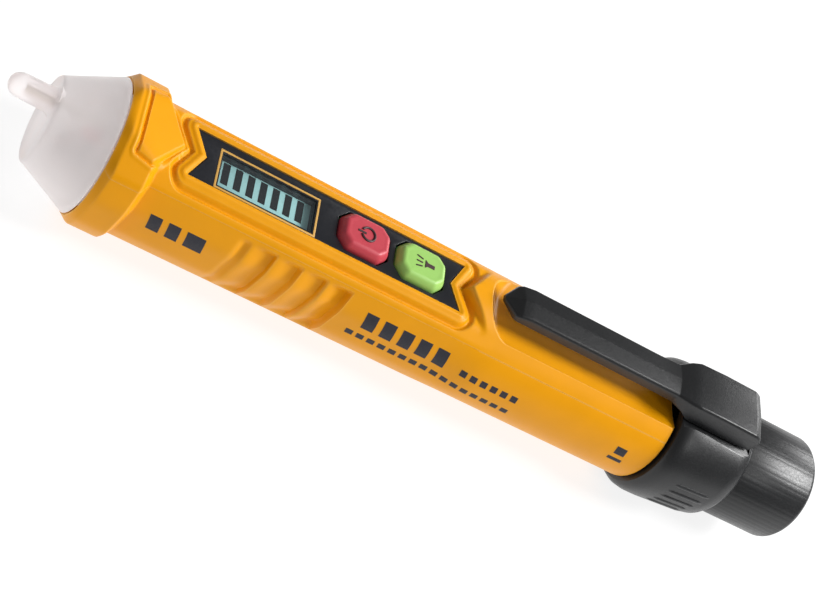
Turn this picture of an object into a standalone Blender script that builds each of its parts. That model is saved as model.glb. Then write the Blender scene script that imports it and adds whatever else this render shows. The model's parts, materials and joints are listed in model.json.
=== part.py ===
"""Pen type non contact voltage tester, built from its separate pieces.

The long axis is X, with the sensing nose at -X and the screw cap at +X. Z is up,
towards the display and the pocket clip. The tester lies on its back on two flats,
one under the front flare and one under the rear collar, and z = 0 is that surface.
Lengths below are in millimetres and are turned into metres by MM.
"""
import math

import bmesh
import bpy
from mathutils import Matrix, Vector

MM = 0.001

# Driving dimensions
LENGTH = 160.0
AXIS_HEIGHT = 12.0
TIP_X = -LENGTH / 2
TAIL_X = LENGTH / 2
GAP = 0.3

# Nose
FACE_X = -72.7
RING_X = -63.5
FACE_RADIUS = 7.3
RING_RADIUS = 11.4
NIB_RADIUS = 1.85
NIB_HEIGHT = 4.7
NOSE_WALL = 1.5

# Housing
FLARE_END = -57.3
DECK_HEIGHT = 9.3
DECK_START = -52.0
PAD_SLOPE = 0.256
SPLIT_HEIGHT = 7.2
REAR_START = 6.0
HOUSING_END = 46.0
REAR_RADIUS = 11.1
SPIGOT_RADIUS = 9.7
SPIGOT_END = 60.5
CAVITY_RADIUS = 8.0
SCREW_X = -58.8
SCREW_Y = 6.6

# Fascia, display and buttons
PANEL_START = -51.5
PANEL_END = -0.9
PANEL_HALF = 4.5
PANEL_TOP = 9.1
PANEL_DEPTH = 0.7
NOTCH = 2.4
DISPLAY_X = -38.0
DISPLAY_Y = -0.6
WINDOW_HALF = (7.3, 2.1)
POWER_X = -20.3
TORCH_X = -9.3
BUTTON_BASE = (9.4, 7.0)
BUTTON_TOP = (8.0, 5.6)
BUTTON_HEIGHT = 10.6
FLANGE_BASE = 6.9

# Electronics and cells
BOARD_BASE = 4.2
BOARD_THICK = 1.0
CELL_RADIUS = 5.25
CELL_LENGTH = 44.5
CELL_DROP = -1.5
CELL_FRONT = -19.5

# Rear end
COLLAR_END = 63.2
COLLAR_RADIUS = 12.8
NECK_RADIUS = 8.6
NECK_BORE = 7.2
NECK_END = 71.0
SEAL_X = 65.0
CAP_START = 63.6
CAP_RADIUS = 10.05
CAP_BORE = 8.95
CAP_WALL_X = 76.6

# Pocket clip
CLIP_TIP = 8.0
CLIP_ROOT = 46.0
CLIP_END = 61.5
CLIP_BASE = 11.8
BEAD_STEP = 0.1
CLIP_PIVOT = (60.0, 12.9)


def material(name, colour, roughness, metallic=0.0):
    """Return a plain surface material."""
    mat = bpy.data.materials.new(name)
    mat.use_nodes = True
    shader = mat.node_tree.nodes["Principled BSDF"]
    shader.inputs["Base Color"].default_value = (*colour, 1.0)
    shader.inputs["Roughness"].default_value = roughness
    shader.inputs["Metallic"].default_value = metallic
    mat.diffuse_color = (*colour, 1.0)
    return mat


def add_object(name, bm, mat, origin=(0, 0, 0)):
    """Store a bmesh, in millimetres about the pen's axis, as an object with its own origin."""
    bmesh.ops.remove_doubles(bm, verts=bm.verts, dist=0.0005)
    bmesh.ops.recalc_face_normals(bm, faces=bm.faces)
    shift = Vector(origin)
    for vert in bm.verts:
        vert.co = (vert.co - shift) * MM
    mesh = bpy.data.meshes.new(name)
    bm.to_mesh(mesh)
    bm.free()
    obj = bpy.data.objects.new(name, mesh)
    obj.location = Vector((origin[0], origin[1], origin[2] + AXIS_HEIGHT)) * MM
    bpy.context.collection.objects.link(obj)
    if mat is not None:
        mesh.materials.append(mat)
    return obj


def smooth(obj, angle=35):
    """Shade a turned or moulded piece smooth, keeping its edges sharp."""
    obj.data.shade_smooth()
    obj.data.set_sharp_from_angle(angle=math.radians(angle))
    return obj


def turned(name, profile, mat, steps=32, centre=(0.0, 0.0), origin=(0, 0, 0)):
    """Turn a closed profile of (x, radius) points about an axis along X at centre (y, z)."""
    bm = bmesh.new()
    verts = [bm.verts.new((x, 0.0, radius)) for x, radius in profile]
    pairs = zip(verts, verts[1:] + verts[:1])
    edges = [bm.edges.new(pair) for pair in pairs if pair[0].co.z + pair[1].co.z > 0]
    bmesh.ops.spin(bm, geom=verts + edges, cent=(0, 0, 0), axis=(1, 0, 0),
                   angle=math.tau, steps=steps, use_duplicate=False)
    bmesh.ops.remove_doubles(bm, verts=bm.verts, dist=0.0005)
    bmesh.ops.translate(bm, verts=bm.verts, vec=(0, centre[0], centre[1]))
    return smooth(add_object(name, bm, mat, origin))


def disc_stack(name, layers, mat, centre, steps=20, origin=(0, 0, 0)):
    """Turn a closed profile of (z, radius) points about a vertical axis at centre (x, y)."""
    bm = bmesh.new()
    verts = [bm.verts.new((radius, 0.0, z)) for z, radius in layers]
    pairs = zip(verts, verts[1:] + verts[:1])
    edges = [bm.edges.new(pair) for pair in pairs if pair[0].co.x + pair[1].co.x > 0]
    bmesh.ops.spin(bm, geom=verts + edges, cent=(0, 0, 0), axis=(0, 0, 1),
                   angle=math.tau, steps=steps, use_duplicate=False)
    bmesh.ops.remove_doubles(bm, verts=bm.verts, dist=0.0005)
    bmesh.ops.translate(bm, verts=bm.verts, vec=(centre[0], centre[1], 0))
    return smooth(add_object(name, bm, mat, origin))


def loft(name, sections, mat, origin=(0, 0, 0)):
    """Skin closed sections, each an (x, [(y, z), ...]) pair, and close both ends."""
    bm = bmesh.new()
    rings = [[bm.verts.new((x, y, z)) for y, z in outline] for x, outline in sections]
    count = len(rings[0])
    for ring, following in zip(rings, rings[1:]):
        for i in range(count):
            j = (i + 1) % count
            bm.faces.new((ring[i], ring[j], following[j], following[i]))
    bm.faces.new(rings[0])
    bm.faces.new(rings[-1])
    return smooth(add_object(name, bm, mat, origin))


def prism(name, outline, low, high, mat, origin=(0, 0, 0)):
    """Extrude a flat (x, y) outline upwards from low to high."""
    bm = bmesh.new()
    face = bm.faces.new([bm.verts.new((x, y, low)) for x, y in outline])
    raised = bmesh.ops.extrude_face_region(bm, geom=[face])
    verts = [item for item in raised["geom"] if isinstance(item, bmesh.types.BMVert)]
    bmesh.ops.translate(bm, verts=verts, vec=(0, 0, high - low))
    return add_object(name, bm, mat, origin)


def block(name, low, high, mat, bevel=0.0, origin=(0, 0, 0)):
    """Make a box between two corners, with its edges bevelled."""
    bm = bmesh.new()
    size = Vector(high) - Vector(low)
    middle = (Vector(high) + Vector(low)) / 2
    bmesh.ops.create_cube(bm, size=1.0, matrix=Matrix.Translation(middle) @ Matrix.Diagonal((*size, 1.0)))
    if bevel:
        bmesh.ops.bevel(bm, geom=bm.edges, offset=bevel, segments=1, affect="EDGES")
    return add_object(name, bm, mat, origin)


def as_cutter(obj):
    """Turn an object into a hidden guide for Boolean modifiers."""
    obj.hide_render = True
    obj.display_type = "WIRE"
    return obj


def combine(obj, guide, operation):
    """Apply one exact Boolean of a hidden guide to an object."""
    modifier = obj.modifiers.new(operation.title(), "BOOLEAN")
    modifier.operation = operation
    modifier.solver = "EXACT"
    modifier.object = as_cutter(guide)
    return obj


def cut(obj, *guides):
    """Subtract each guide from an object."""
    for guide in guides:
        combine(obj, guide, "DIFFERENCE")
    return obj


def section(facets, count=40, sharpness=20.0):
    """Return a rounded outline that keeps inside facets, given as (angle, distance) pairs."""
    outline = []
    for i in range(count):
        angle = math.tau * (i + 0.5) / count
        total = 0.0
        for facing, distance in facets:
            reach = math.cos(angle - math.radians(facing)) / distance
            total += max(0.0, reach) ** sharpness
        radius = total ** (-1.0 / sharpness)
        outline.append((radius * math.cos(angle), radius * math.sin(angle)))
    return outline


def both_sides(facets):
    """Mirror the facets of the +Y half to the -Y half; the top and bottom ones are their own mirror."""
    return facets + [(180.0 - angle, distance) for angle, distance in facets if abs(angle) != 90.0]


def round_section(radius, foot, count=40):
    """Return a circle whose underside is cut to a flat foot."""
    circle = [(radius * math.cos(math.tau * (i + 0.5) / count),
               radius * math.sin(math.tau * (i + 0.5) / count)) for i in range(count)]
    return [(y, max(z, -foot)) for y, z in circle]


GRIP_FACETS = both_sides([(90.0, DECK_HEIGHT), (58.0, 10.9), (22.0, 10.5), (0.0, 10.2),
                          (-22.0, 10.8), (-45.0, 11.3), (-68.0, 10.9), (-90.0, 10.5)])


def flare_section(x, lip=0.0):
    """Return the outline of the front flare at a station; its top slopes down towards the deck."""
    top = DECK_HEIGHT + PAD_SLOPE * (DECK_START - x)
    facets = [(90.0, top), (58.0, 12.2), (22.0, 12.3), (0.0, 12.1), (-22.0, 12.4), (-45.0, 12.5),
              (-68.0, 12.3), (-90.0, AXIS_HEIGHT + lip)]
    return section(both_sides([(angle, distance - lip) for angle, distance in facets]))


def build_housing(yellow):
    """Build the upper and lower shells from one outer form, one cavity and one split plane."""
    grip = section(GRIP_FACETS)
    rear = round_section(REAR_RADIUS, REAR_RADIUS)
    spigot = round_section(SPIGOT_RADIUS, SPIGOT_RADIUS)
    outer = [(RING_X, flare_section(RING_X, 0.5)),
             (RING_X + 1.4, flare_section(RING_X + 1.4)),
             (FLARE_END, flare_section(FLARE_END)),
             (FLARE_END + 1.2, grip),
             (REAR_START - 4.0, grip),
             (REAR_START + 6.0, rear),
             (HOUSING_END, rear),
             (HOUSING_END, spigot),
             (SPIGOT_END, spigot)]
    room = section(both_sides([(90.0, 7.7), (58.0, 9.0), (22.0, 8.7), (0.0, 8.5),
                               (-22.0, 8.9), (-45.0, 9.3), (-68.0, 9.1), (-90.0, 8.8)]))
    bore = round_section(CAVITY_RADIUS, CAVITY_RADIUS)
    mouth = round_section(RING_RADIUS - NOSE_WALL, RING_RADIUS)
    inner = [(RING_X - 1.0, mouth),
             (RING_X + 3.0, mouth),
             (RING_X + 3.0, room),
             (REAR_START - 4.0, room),
             (REAR_START + 4.0, bore),
             (SPIGOT_END + 1.0, bore)]
    shells = []
    for name, low, high in (("upper_housing", SPLIT_HEIGHT + GAP / 2, 30.0),
                            ("lower_housing", -30.0, SPLIT_HEIGHT - GAP / 2)):
        shell = loft(name, outer, yellow)
        cavity = loft(name + "_cavity", inner, None)
        half = block(name + "_half", (-100, -30, low), (100, 30, high), None)
        cut(shell, cavity)
        combine(shell, half, "INTERSECT")
        shells.append(shell)
    return shells


def panel_outline(margin=0.0):
    """Return the fascia outline: a long bar with a V notch in each end."""
    left = PANEL_START + margin
    right = PANEL_END - margin
    half = PANEL_HALF - margin
    return [(left, -half), (right, -half), (right - NOTCH, 0.0), (right, half),
            (left, half), (left + NOTCH, 0.0)]


def octagon(centre, size, corner):
    """Return a rectangle with cut corners, anticlockwise."""
    x, y = centre
    a, b = size[0] / 2, size[1] / 2
    return [(x - a, y - b + corner), (x - a + corner, y - b), (x + a - corner, y - b),
            (x + a, y - b + corner), (x + a, y + b - corner), (x + a - corner, y + b),
            (x - a + corner, y + b), (x - a, y + b - corner)]


def build_top_openings(upper):
    """Sink the fascia pocket, its windows and the clip channel into the upper shell."""
    pocket = prism("fascia_pocket", panel_outline(), PANEL_TOP - PANEL_DEPTH, 30.0, None)
    window = block("display_opening", (DISPLAY_X - 8.0, DISPLAY_Y - 2.8, 0), (DISPLAY_X + 8.0, DISPLAY_Y + 2.8, 30), None)
    holes = [prism(name, octagon((x, 0.0), (BUTTON_BASE[0] + 0.8, BUTTON_BASE[1] + 0.8), 1.6), 0.0, 30.0, None)
             for name, x in (("power_opening", POWER_X), ("torch_opening", TORCH_X))]
    channel = turned("clip_channel", [(14.0, 0.0), (11.0, 4.6), (11.8, 7.4), (14.0, 9.0),
                                      (60.0, 9.0), (60.0, 0.0)], None, centre=(0.0, 17.0))
    cut(upper, pocket, window, *holes, channel)


def build_fascia(dark, glass, grey):
    """Build the fascia plate, its clear window and the display stack under it."""
    base = PANEL_TOP - PANEL_DEPTH + 0.1
    fascia = prism("fascia_panel", panel_outline(0.15), base, PANEL_TOP, dark)
    opening = block("fascia_window", (DISPLAY_X - WINDOW_HALF[0] - GAP, DISPLAY_Y - WINDOW_HALF[1] - GAP, 0),
                    (DISPLAY_X + WINDOW_HALF[0] + GAP, DISPLAY_Y + WINDOW_HALF[1] + GAP, 30), None)
    holes = [prism(name, octagon((x, 0.0), (BUTTON_BASE[0] + 0.6, BUTTON_BASE[1] + 0.6), 1.6), 0.0, 30.0, None)
             for name, x in (("fascia_power", POWER_X), ("fascia_torch", TORCH_X))]
    cut(fascia, opening, *holes)
    block("display_window", (DISPLAY_X - WINDOW_HALF[0], DISPLAY_Y - WINDOW_HALF[1], base - 0.5),
          (DISPLAY_X + WINDOW_HALF[0], DISPLAY_Y + WINDOW_HALF[1], PANEL_TOP - 0.1), glass, bevel=0.15)
    board_top = BOARD_BASE + BOARD_THICK
    block("lcd_backlight", (DISPLAY_X - 8.4, -3.6, board_top + 0.2), (DISPLAY_X + 8.4, 2.6, board_top + 1.0), grey)
    block("lcd_glass", (DISPLAY_X - 8.2, -3.4, board_top + 1.2), (DISPLAY_X + 8.2, 2.4, board_top + 2.0), glass)
    block("lcd_connector", (DISPLAY_X - 8.0, 2.9, board_top + 0.2), (DISPLAY_X + 8.0, 3.7, board_top + 1.8), grey)


def build_button(name, x, cap_mat, metal, dark):
    """Build one push button with its plunger and the switch that it presses."""
    board_top = BOARD_BASE + BOARD_THICK
    origin = (x, 0.0, PANEL_TOP)
    flange = (BUTTON_BASE[0] + 1.2, BUTTON_BASE[1] + 1.2)
    rings = [(flange, 1.8, FLANGE_BASE),
             (flange, 1.8, FLANGE_BASE + 0.3),
             (BUTTON_BASE, 1.6, FLANGE_BASE + 0.3),
             (BUTTON_BASE, 1.6, PANEL_TOP + 0.4),
             (BUTTON_TOP, 1.5, BUTTON_HEIGHT)]
    bm = bmesh.new()
    loops = [[bm.verts.new((px, py, z)) for px, py in octagon((x, 0.0), size, corner)]
             for size, corner, z in rings]
    for loop, following in zip(loops, loops[1:]):
        for i in range(8):
            j = (i + 1) % 8
            bm.faces.new((loop[i], loop[j], following[j], following[i]))
    bm.faces.new(loops[0])
    bm.faces.new(loops[-1])
    add_object(name + "_button", bm, cap_mat, origin)
    disc_stack(name + "_plunger", [(board_top + 0.95, 0.0), (board_top + 0.95, 0.8),
                                   (board_top + 1.6, 0.8), (board_top + 1.6, 0.0)],
               metal, (x, 0.0), steps=12, origin=(x, 0.0, board_top))
    switch = block(name + "_switch", (x - 1.8, -1.8, board_top + 0.15), (x + 1.8, 1.8, board_top + 1.2), dark)
    well = disc_stack(name + "_switch_well", [(board_top + 0.3, 0.0), (board_top + 0.3, 1.1),
                                              (board_top + 3.0, 1.1), (board_top + 3.0, 0.0)],
                      None, (x, 0.0), steps=12)
    cut(switch, well)


def build_nose(frosted, metal, white, red):
    """Build the hollow frosted nose, its sensing rod and the lamps behind it."""
    nose = turned("nose_cone", [(FACE_X, 0.0), (FACE_X, FACE_RADIUS - 0.8), (FACE_X + 0.8, FACE_RADIUS),
                                (RING_X - 0.2, RING_RADIUS), (RING_X - 0.2, RING_RADIUS - 2.0),
                                (RING_X + 2.6, RING_RADIUS - 2.0), (RING_X + 2.6, RING_RADIUS - 3.2),
                                (RING_X, RING_RADIUS - 3.2), (FACE_X + 2.6, FACE_RADIUS - NOSE_WALL),
                                (FACE_X + 2.6, 0.0)], frosted)
    nib = turned("nib_form", [(TIP_X, 0.0), (TIP_X, 0.7), (TIP_X + 0.5, 1.4), (TIP_X + 1.6, NIB_RADIUS),
                              (FACE_X + 1.2, NIB_RADIUS), (FACE_X + 1.2, 0.0)], None, steps=16,
                 centre=(0.0, NIB_HEIGHT))
    bore = turned("rod_bore", [(TIP_X + 2.2, 0.0), (TIP_X + 2.2, 0.95), (FACE_X + 4.0, 0.95),
                               (FACE_X + 4.0, 0.0)], None, steps=12, centre=(0.0, NIB_HEIGHT))
    combine(nose, nib, "UNION")
    cut(nose, bore)
    turned("sensor_rod", [(TIP_X + 2.6, 0.0), (TIP_X + 2.6, 0.6), (-59.5, 0.6), (-59.5, 0.0)],
           metal, steps=12, centre=(0.0, NIB_HEIGHT))
    holder = turned("lamp_holder", [(-63.4, 0.0), (-63.4, 7.6), (-60.8, 7.6), (-60.8, 0.0)], white, steps=24)
    for name, y, z, radius in (("torch_seat", 0.0, -2.6, 2.9), ("alarm_seat", 0.0, 1.9, 1.3),
                               ("rod_seat", 0.0, NIB_HEIGHT, 0.9)):
        cut(holder, turned(name, [(-70.0, 0.0), (-70.0, radius), (-50.0, radius), (-50.0, 0.0)], None,
                           steps=16, centre=(y, z)))
    turned("torch_lamp", [(-68.6, 0.0), (-68.3, 1.3), (-67.2, 2.2), (-66.0, 2.5), (-59.4, 2.5), (-59.4, 0.0)],
           white, steps=16, centre=(0.0, -2.6))
    turned("alarm_lamp", [(-66.6, 0.0), (-66.2, 0.7), (-65.6, 1.0), (-59.4, 1.0), (-59.4, 0.0)],
           red, steps=12, centre=(0.0, 1.9))
    block("sensor_contact", (-59.2, -0.8, 3.6), (-58.8, 0.8, 5.4), metal)


def build_board(green, dark, metal, yellow):
    """Build the circuit board and the parts soldered to it."""
    board = block("main_board", (-57.0, -6.8, BOARD_BASE), (-2.0, 6.8, BOARD_BASE + BOARD_THICK), green)
    for name, x in (("front_screw_hole", -54.0), ("rear_screw_hole", -3.9)):
        cut(board, disc_stack(name, [(0.0, 0.0), (0.0, 1.3), (10.0, 1.3), (10.0, 0.0)], None, (x, 4.6), steps=12))
    low = BOARD_BASE - GAP
    block("controller_chip", (-33.0, -2.5, low - 1.2), (-28.0, 2.5, low), dark, bevel=0.1)
    block("sense_amplifier", (-53.0, -4.0, low - 1.2), (-49.0, 0.0, low), dark, bevel=0.1)
    disc_stack("buzzer", [(low - 3.2, 0.0), (low - 3.2, 4.4), (low, 4.4), (low, 0.0)], dark, (-41.0, 0.0))
    block("storage_capacitor", (-26.4, -3.4, low - 2.2), (-22.6, 3.4, low), yellow, bevel=0.2)
    for name, x in (("board_screw_front", -54.0), ("board_screw_rear", -3.9)):
        top = BOARD_BASE + BOARD_THICK
        disc_stack(name, [(3.0, 0.0), (3.0, 0.9), (top + 0.15, 0.9), (top + 0.15, 1.6),
                          (top + 0.9, 1.6), (top + 0.9, 0.0)], metal, (x, 4.6), steps=12)


def build_cells(foil, metal):
    """Build the two cells in line, the contact ahead of them and the return strip."""
    for i, name in enumerate(("battery_front", "battery_rear")):
        start = CELL_FRONT + i * (CELL_LENGTH + 0.3)
        end = start + CELL_LENGTH
        turned(name, [(start, 0.0), (start, 1.9), (start + 1.0, 1.9), (start + 1.0, CELL_RADIUS - 0.5),
                      (start + 1.4, CELL_RADIUS), (end - 0.4, CELL_RADIUS), (end, CELL_RADIUS - 0.4),
                      (end, 0.0)], foil, steps=24, centre=(0.0, CELL_DROP))
    block("front_contact", (CELL_FRONT - 0.8, -4.0, CELL_DROP - 3.6), (CELL_FRONT - 0.3, 4.0, 3.9), metal)
    bottom = -7.75
    block("return_strip", (-18.0, -1.4, bottom), (58.0, 1.4, bottom + 0.4), metal)


def coil(name, start, end, radius, wire, turns, mat):
    """Wind a compression spring along the pen's axis from start to end."""
    curve = bpy.data.curves.new(name, "CURVE")
    curve.dimensions = "3D"
    curve.bevel_depth = wire / 2 * MM
    curve.bevel_resolution = 1
    curve.use_fill_caps = True
    spline = curve.splines.new("POLY")
    count = int(turns * 12) + 1
    spline.points.add(count - 1)
    for i, point in enumerate(spline.points):
        share = i / (count - 1)
        angle = math.tau * turns * share
        point.co = (Vector(((end - start) * share, radius * math.cos(angle), radius * math.sin(angle))) * MM).to_4d()
    obj = bpy.data.objects.new(name, curve)
    obj.location = Vector((start, 0.0, AXIS_HEIGHT)) * MM
    curve.materials.append(mat)
    bpy.context.collection.objects.link(obj)
    return obj


def build_rear(black, metal, rubber):
    """Build the collar with its screw neck, and the cap with its contact, spring and seal."""
    collar = turned("rear_collar", [(HOUSING_END + 0.4, COLLAR_RADIUS - 0.9), (HOUSING_END + 2.6, COLLAR_RADIUS),
                                    (HOUSING_END + 5.0, COLLAR_RADIUS), (COLLAR_END - 3.0, COLLAR_RADIUS - 1.0),
                                    (COLLAR_END, 10.9), (COLLAR_END, NECK_RADIUS), (SEAL_X, NECK_RADIUS),
                                    (SEAL_X, NECK_RADIUS - 0.7), (SEAL_X + 1.4, NECK_RADIUS - 0.7),
                                    (SEAL_X + 1.4, NECK_RADIUS), (NECK_END, NECK_RADIUS),
                                    (NECK_END, NECK_BORE), (SPIGOT_END + 0.4, NECK_BORE),
                                    (SPIGOT_END + 0.4, SPIGOT_RADIUS + GAP), (HOUSING_END + 0.4, SPIGOT_RADIUS + GAP)],
                    black, steps=40)
    foot = block("collar_foot", (HOUSING_END - 5, -20, -30), (COLLAR_END + 5, 20, -AXIS_HEIGHT), None)
    saddle = block("clip_saddle", (47.0, -3.3, 10.7), (59.0, 3.3, 30.0), None)
    cut(collar, foot, saddle)
    turned("tail_cap", [(CAP_START, CAP_RADIUS - 0.3), (CAP_START + 0.4, CAP_RADIUS), (TAIL_X - 1.2, CAP_RADIUS),
                        (TAIL_X - 0.35, CAP_RADIUS - 0.4), (TAIL_X, CAP_RADIUS - 1.3), (TAIL_X, 0.0),
                        (CAP_WALL_X, 0.0), (CAP_WALL_X, CAP_BORE), (CAP_START, CAP_BORE)], black, steps=40)
    turned("cap_contact", [(CAP_WALL_X - 0.7, 0.0), (CAP_WALL_X - 0.7, 6.4), (CAP_WALL_X - 0.3, 6.4),
                           (CAP_WALL_X - 0.3, 0.0)], metal, steps=24)
    coil("battery_spring", 70.6, CAP_WALL_X - 1.35, 3.0, 0.7, 3.5, metal)
    low, high = NECK_RADIUS - 0.55, NECK_RADIUS + 0.15
    turned("cap_seal", [(SEAL_X + 0.2, low), (SEAL_X + 0.2, high - 0.2), (SEAL_X + 0.4, high), (SEAL_X + 1.0, high),
                        (SEAL_X + 1.2, high - 0.2), (SEAL_X + 1.2, low)], rubber, steps=32)


def clip_section(half, base, edge, ridge):
    """Return the clip's outline: flat underneath, upright sides and a low ridge on top."""
    return [(-half, base), (0.0, base), (half, base), (half, edge - 0.3), (half - 0.4, edge),
            (0.0, ridge), (-half + 0.4, edge), (-half, edge - 0.3)]


def build_clip(black):
    """Build the one piece pocket clip: the sprung arm, its root and the foot in the saddle."""
    origin = (CLIP_PIVOT[0], 0.0, CLIP_PIVOT[1])
    sections = [(CLIP_TIP, clip_section(2.3, CLIP_BASE + BEAD_STEP, 12.5, 12.8)),
                (CLIP_TIP + 1.6, clip_section(3.0, CLIP_BASE + BEAD_STEP, 13.2, 13.7)),
                (CLIP_TIP + 9.0, clip_section(3.1, CLIP_BASE + BEAD_STEP, 13.25, 13.85)),
                (CLIP_TIP + 9.6, clip_section(3.1, CLIP_BASE, 13.25, 13.85)),
                (CLIP_ROOT - 8.0, clip_section(3.3, CLIP_BASE, 13.4, 14.2)),
                (CLIP_ROOT - 3.0, clip_section(3.4, CLIP_BASE, 13.6, 14.5)),
                (CLIP_ROOT, clip_section(4.0, CLIP_BASE + 1.1, 14.4, 15.4)),
                (CLIP_ROOT + 5.0, clip_section(5.2, CLIP_BASE + 1.1, 14.7, 15.7)),
                (CLIP_END - 2.0, clip_section(5.2, CLIP_BASE + 1.1, 14.6, 15.4)),
                (CLIP_END, clip_section(4.8, CLIP_BASE + 1.1, 13.5, 13.8))]
    clip = loft("pocket_clip", sections, black, origin)
    tenon = block("clip_tenon", (47.6, -2.9, 11.1), (58.4, 2.9, 13.4), None)
    bead = turned("clip_bead", [(CLIP_TIP + 3.0, 0.0), (CLIP_TIP + 4.2, 1.0), (CLIP_TIP + 6.8, 1.0),
                                (CLIP_TIP + 8.0, 0.0)], None, steps=12, centre=(0.0, CLIP_BASE + BEAD_STEP))
    combine(clip, tenon, "UNION")
    combine(clip, bead, "UNION")


def build_fasteners(metal, lower):
    """Build the two screws that close the shells from underneath, and their holes."""
    for name, y in (("housing_screw_left", -SCREW_Y), ("housing_screw_right", SCREW_Y)):
        x = SCREW_X
        hole = disc_stack(name + "_hole", [(-20.0, 0.0), (-20.0, 1.9), (-7.4, 1.9), (-7.4, 1.1), (6.0, 1.1),
                                           (6.0, 0.0)], None, (x, y), steps=12)
        cut(lower, hole)
        disc_stack(name, [(-8.6, 0.0), (-8.6, 1.6), (-7.7, 1.6), (-7.7, 0.8), (4.0, 0.8), (4.0, 0.0)],
                   metal, (x, y), steps=12)


def main():
    """Clear the file and build every piece of the tester."""
    for obj in list(bpy.data.objects):
        bpy.data.objects.remove(obj, do_unlink=True)
    yellow = material("yellow_plastic", (0.90, 0.42, 0.01), 0.42)
    black = material("black_plastic", (0.03, 0.03, 0.03), 0.38)
    dark = material("fascia_black", (0.012, 0.013, 0.015), 0.35)
    frosted = material("frosted_plastic", (0.86, 0.82, 0.81), 0.45)
    white = material("lamp_white", (0.85, 0.85, 0.80), 0.30)
    red = material("red_rubber", (0.55, 0.03, 0.05), 0.45)
    lime = material("green_rubber", (0.25, 0.60, 0.10), 0.45)
    metal = material("plated_metal", (0.75, 0.72, 0.65), 0.25, 1.0)
    glass = material("display_glass", (0.35, 0.55, 0.55), 0.10)
    grey = material("light_guide", (0.70, 0.72, 0.72), 0.40)
    board = material("circuit_board", (0.02, 0.20, 0.07), 0.45)
    foil = material("cell_wrap", (0.10, 0.12, 0.20), 0.35)
    rubber = material("seal_rubber", (0.02, 0.02, 0.02), 0.80)

    upper, lower = build_housing(yellow)
    build_top_openings(upper)
    build_fasteners(metal, lower)
    build_fascia(dark, glass, grey)
    build_button("power", POWER_X, red, metal, dark)
    build_button("torch", TORCH_X, lime, metal, dark)
    build_nose(frosted, metal, white, red)
    build_board(board, dark, metal, yellow)
    build_cells(foil, metal)
    build_rear(black, metal, rubber)
    build_clip(black)


main()
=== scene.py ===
"""Looks of a pen type non contact voltage tester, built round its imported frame.

The long axis is X, with the sensing nose at -X and the screw cap at +X, and Z is up,
towards the display and the pocket clip. Sizes in the classes are in millimetres, with
heights counted from the pen's axis; `at` turns such a place into metres in the frame.
"""
import json
import logging
import math
from dataclasses import dataclass
from enum import Enum
from typing import Callable, Iterable

import bmesh
import bpy
import numpy as np
from mathutils import Matrix, Vector

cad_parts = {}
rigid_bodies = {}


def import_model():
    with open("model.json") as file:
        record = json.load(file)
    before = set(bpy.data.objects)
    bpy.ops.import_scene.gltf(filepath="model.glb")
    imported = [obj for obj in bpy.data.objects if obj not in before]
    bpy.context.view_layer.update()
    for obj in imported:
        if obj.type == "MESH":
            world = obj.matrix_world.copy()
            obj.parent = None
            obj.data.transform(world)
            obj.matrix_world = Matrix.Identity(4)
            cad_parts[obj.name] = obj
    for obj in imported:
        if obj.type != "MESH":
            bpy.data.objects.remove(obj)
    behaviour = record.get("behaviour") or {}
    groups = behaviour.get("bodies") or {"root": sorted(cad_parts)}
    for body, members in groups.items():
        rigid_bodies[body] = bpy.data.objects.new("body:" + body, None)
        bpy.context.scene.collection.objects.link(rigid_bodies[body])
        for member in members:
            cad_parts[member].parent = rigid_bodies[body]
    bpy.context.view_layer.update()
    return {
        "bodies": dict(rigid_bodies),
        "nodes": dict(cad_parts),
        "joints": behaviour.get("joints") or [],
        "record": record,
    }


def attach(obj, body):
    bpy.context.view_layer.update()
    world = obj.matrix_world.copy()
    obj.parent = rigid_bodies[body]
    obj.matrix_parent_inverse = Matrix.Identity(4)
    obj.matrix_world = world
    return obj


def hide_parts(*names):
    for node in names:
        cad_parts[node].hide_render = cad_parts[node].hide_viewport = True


MM = 0.001
AXIS_HEIGHT = 12.0
QUARTER = math.pi / 2
CUT_TOP = 20.0
POWER_X = -20.3
TORCH_X = -9.3

Outline = list[tuple[float, float]]
Profile = list[tuple[float, float]]
Colour = tuple[float, float, float]
Piece = bpy.types.Object
Material = bpy.types.Material
Socket = bpy.types.NodeSocket
Node = bpy.types.ShaderNode
Element = bmesh.types.BMVert | bmesh.types.BMEdge | bmesh.types.BMFace
log = logging.getLogger("tester")


class Body(Enum):
    """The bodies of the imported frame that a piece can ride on."""

    CASING = "casing"
    POWER_KEY = "power_key"
    TORCH_KEY = "torch_key"
    CLIP = "clip"
    CARRIAGE = "cap_carriage"
    SCREW_CAP = "screw_cap"


class Slot(Enum):
    """The record's material slots."""

    YELLOW = "yellow_plastic"
    BLACK = "black_plastic"
    FASCIA = "fascia_black"
    FROSTED = "frosted_plastic"
    WHITE = "white_plastic"
    LENS = "lamp_lens"
    RED = "red_plastic"
    GREEN = "green_plastic"
    WINDOW = "window_clear"
    DISPLAY = "display_glass"
    BOARD = "circuit_board"
    CAPACITOR = "capacitor_body"
    METAL = "plated_metal"
    CELL = "cell_can"
    RUBBER = "black_rubber"


# ---------------------------------------------------------------- finishes


def scaled(colour: Iterable[float], factor: float) -> tuple[float, ...]:
    """Return a colour made lighter or darker, kept within 0 to 1."""
    return tuple(min(1.0, channel * factor) for channel in colour)


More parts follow.
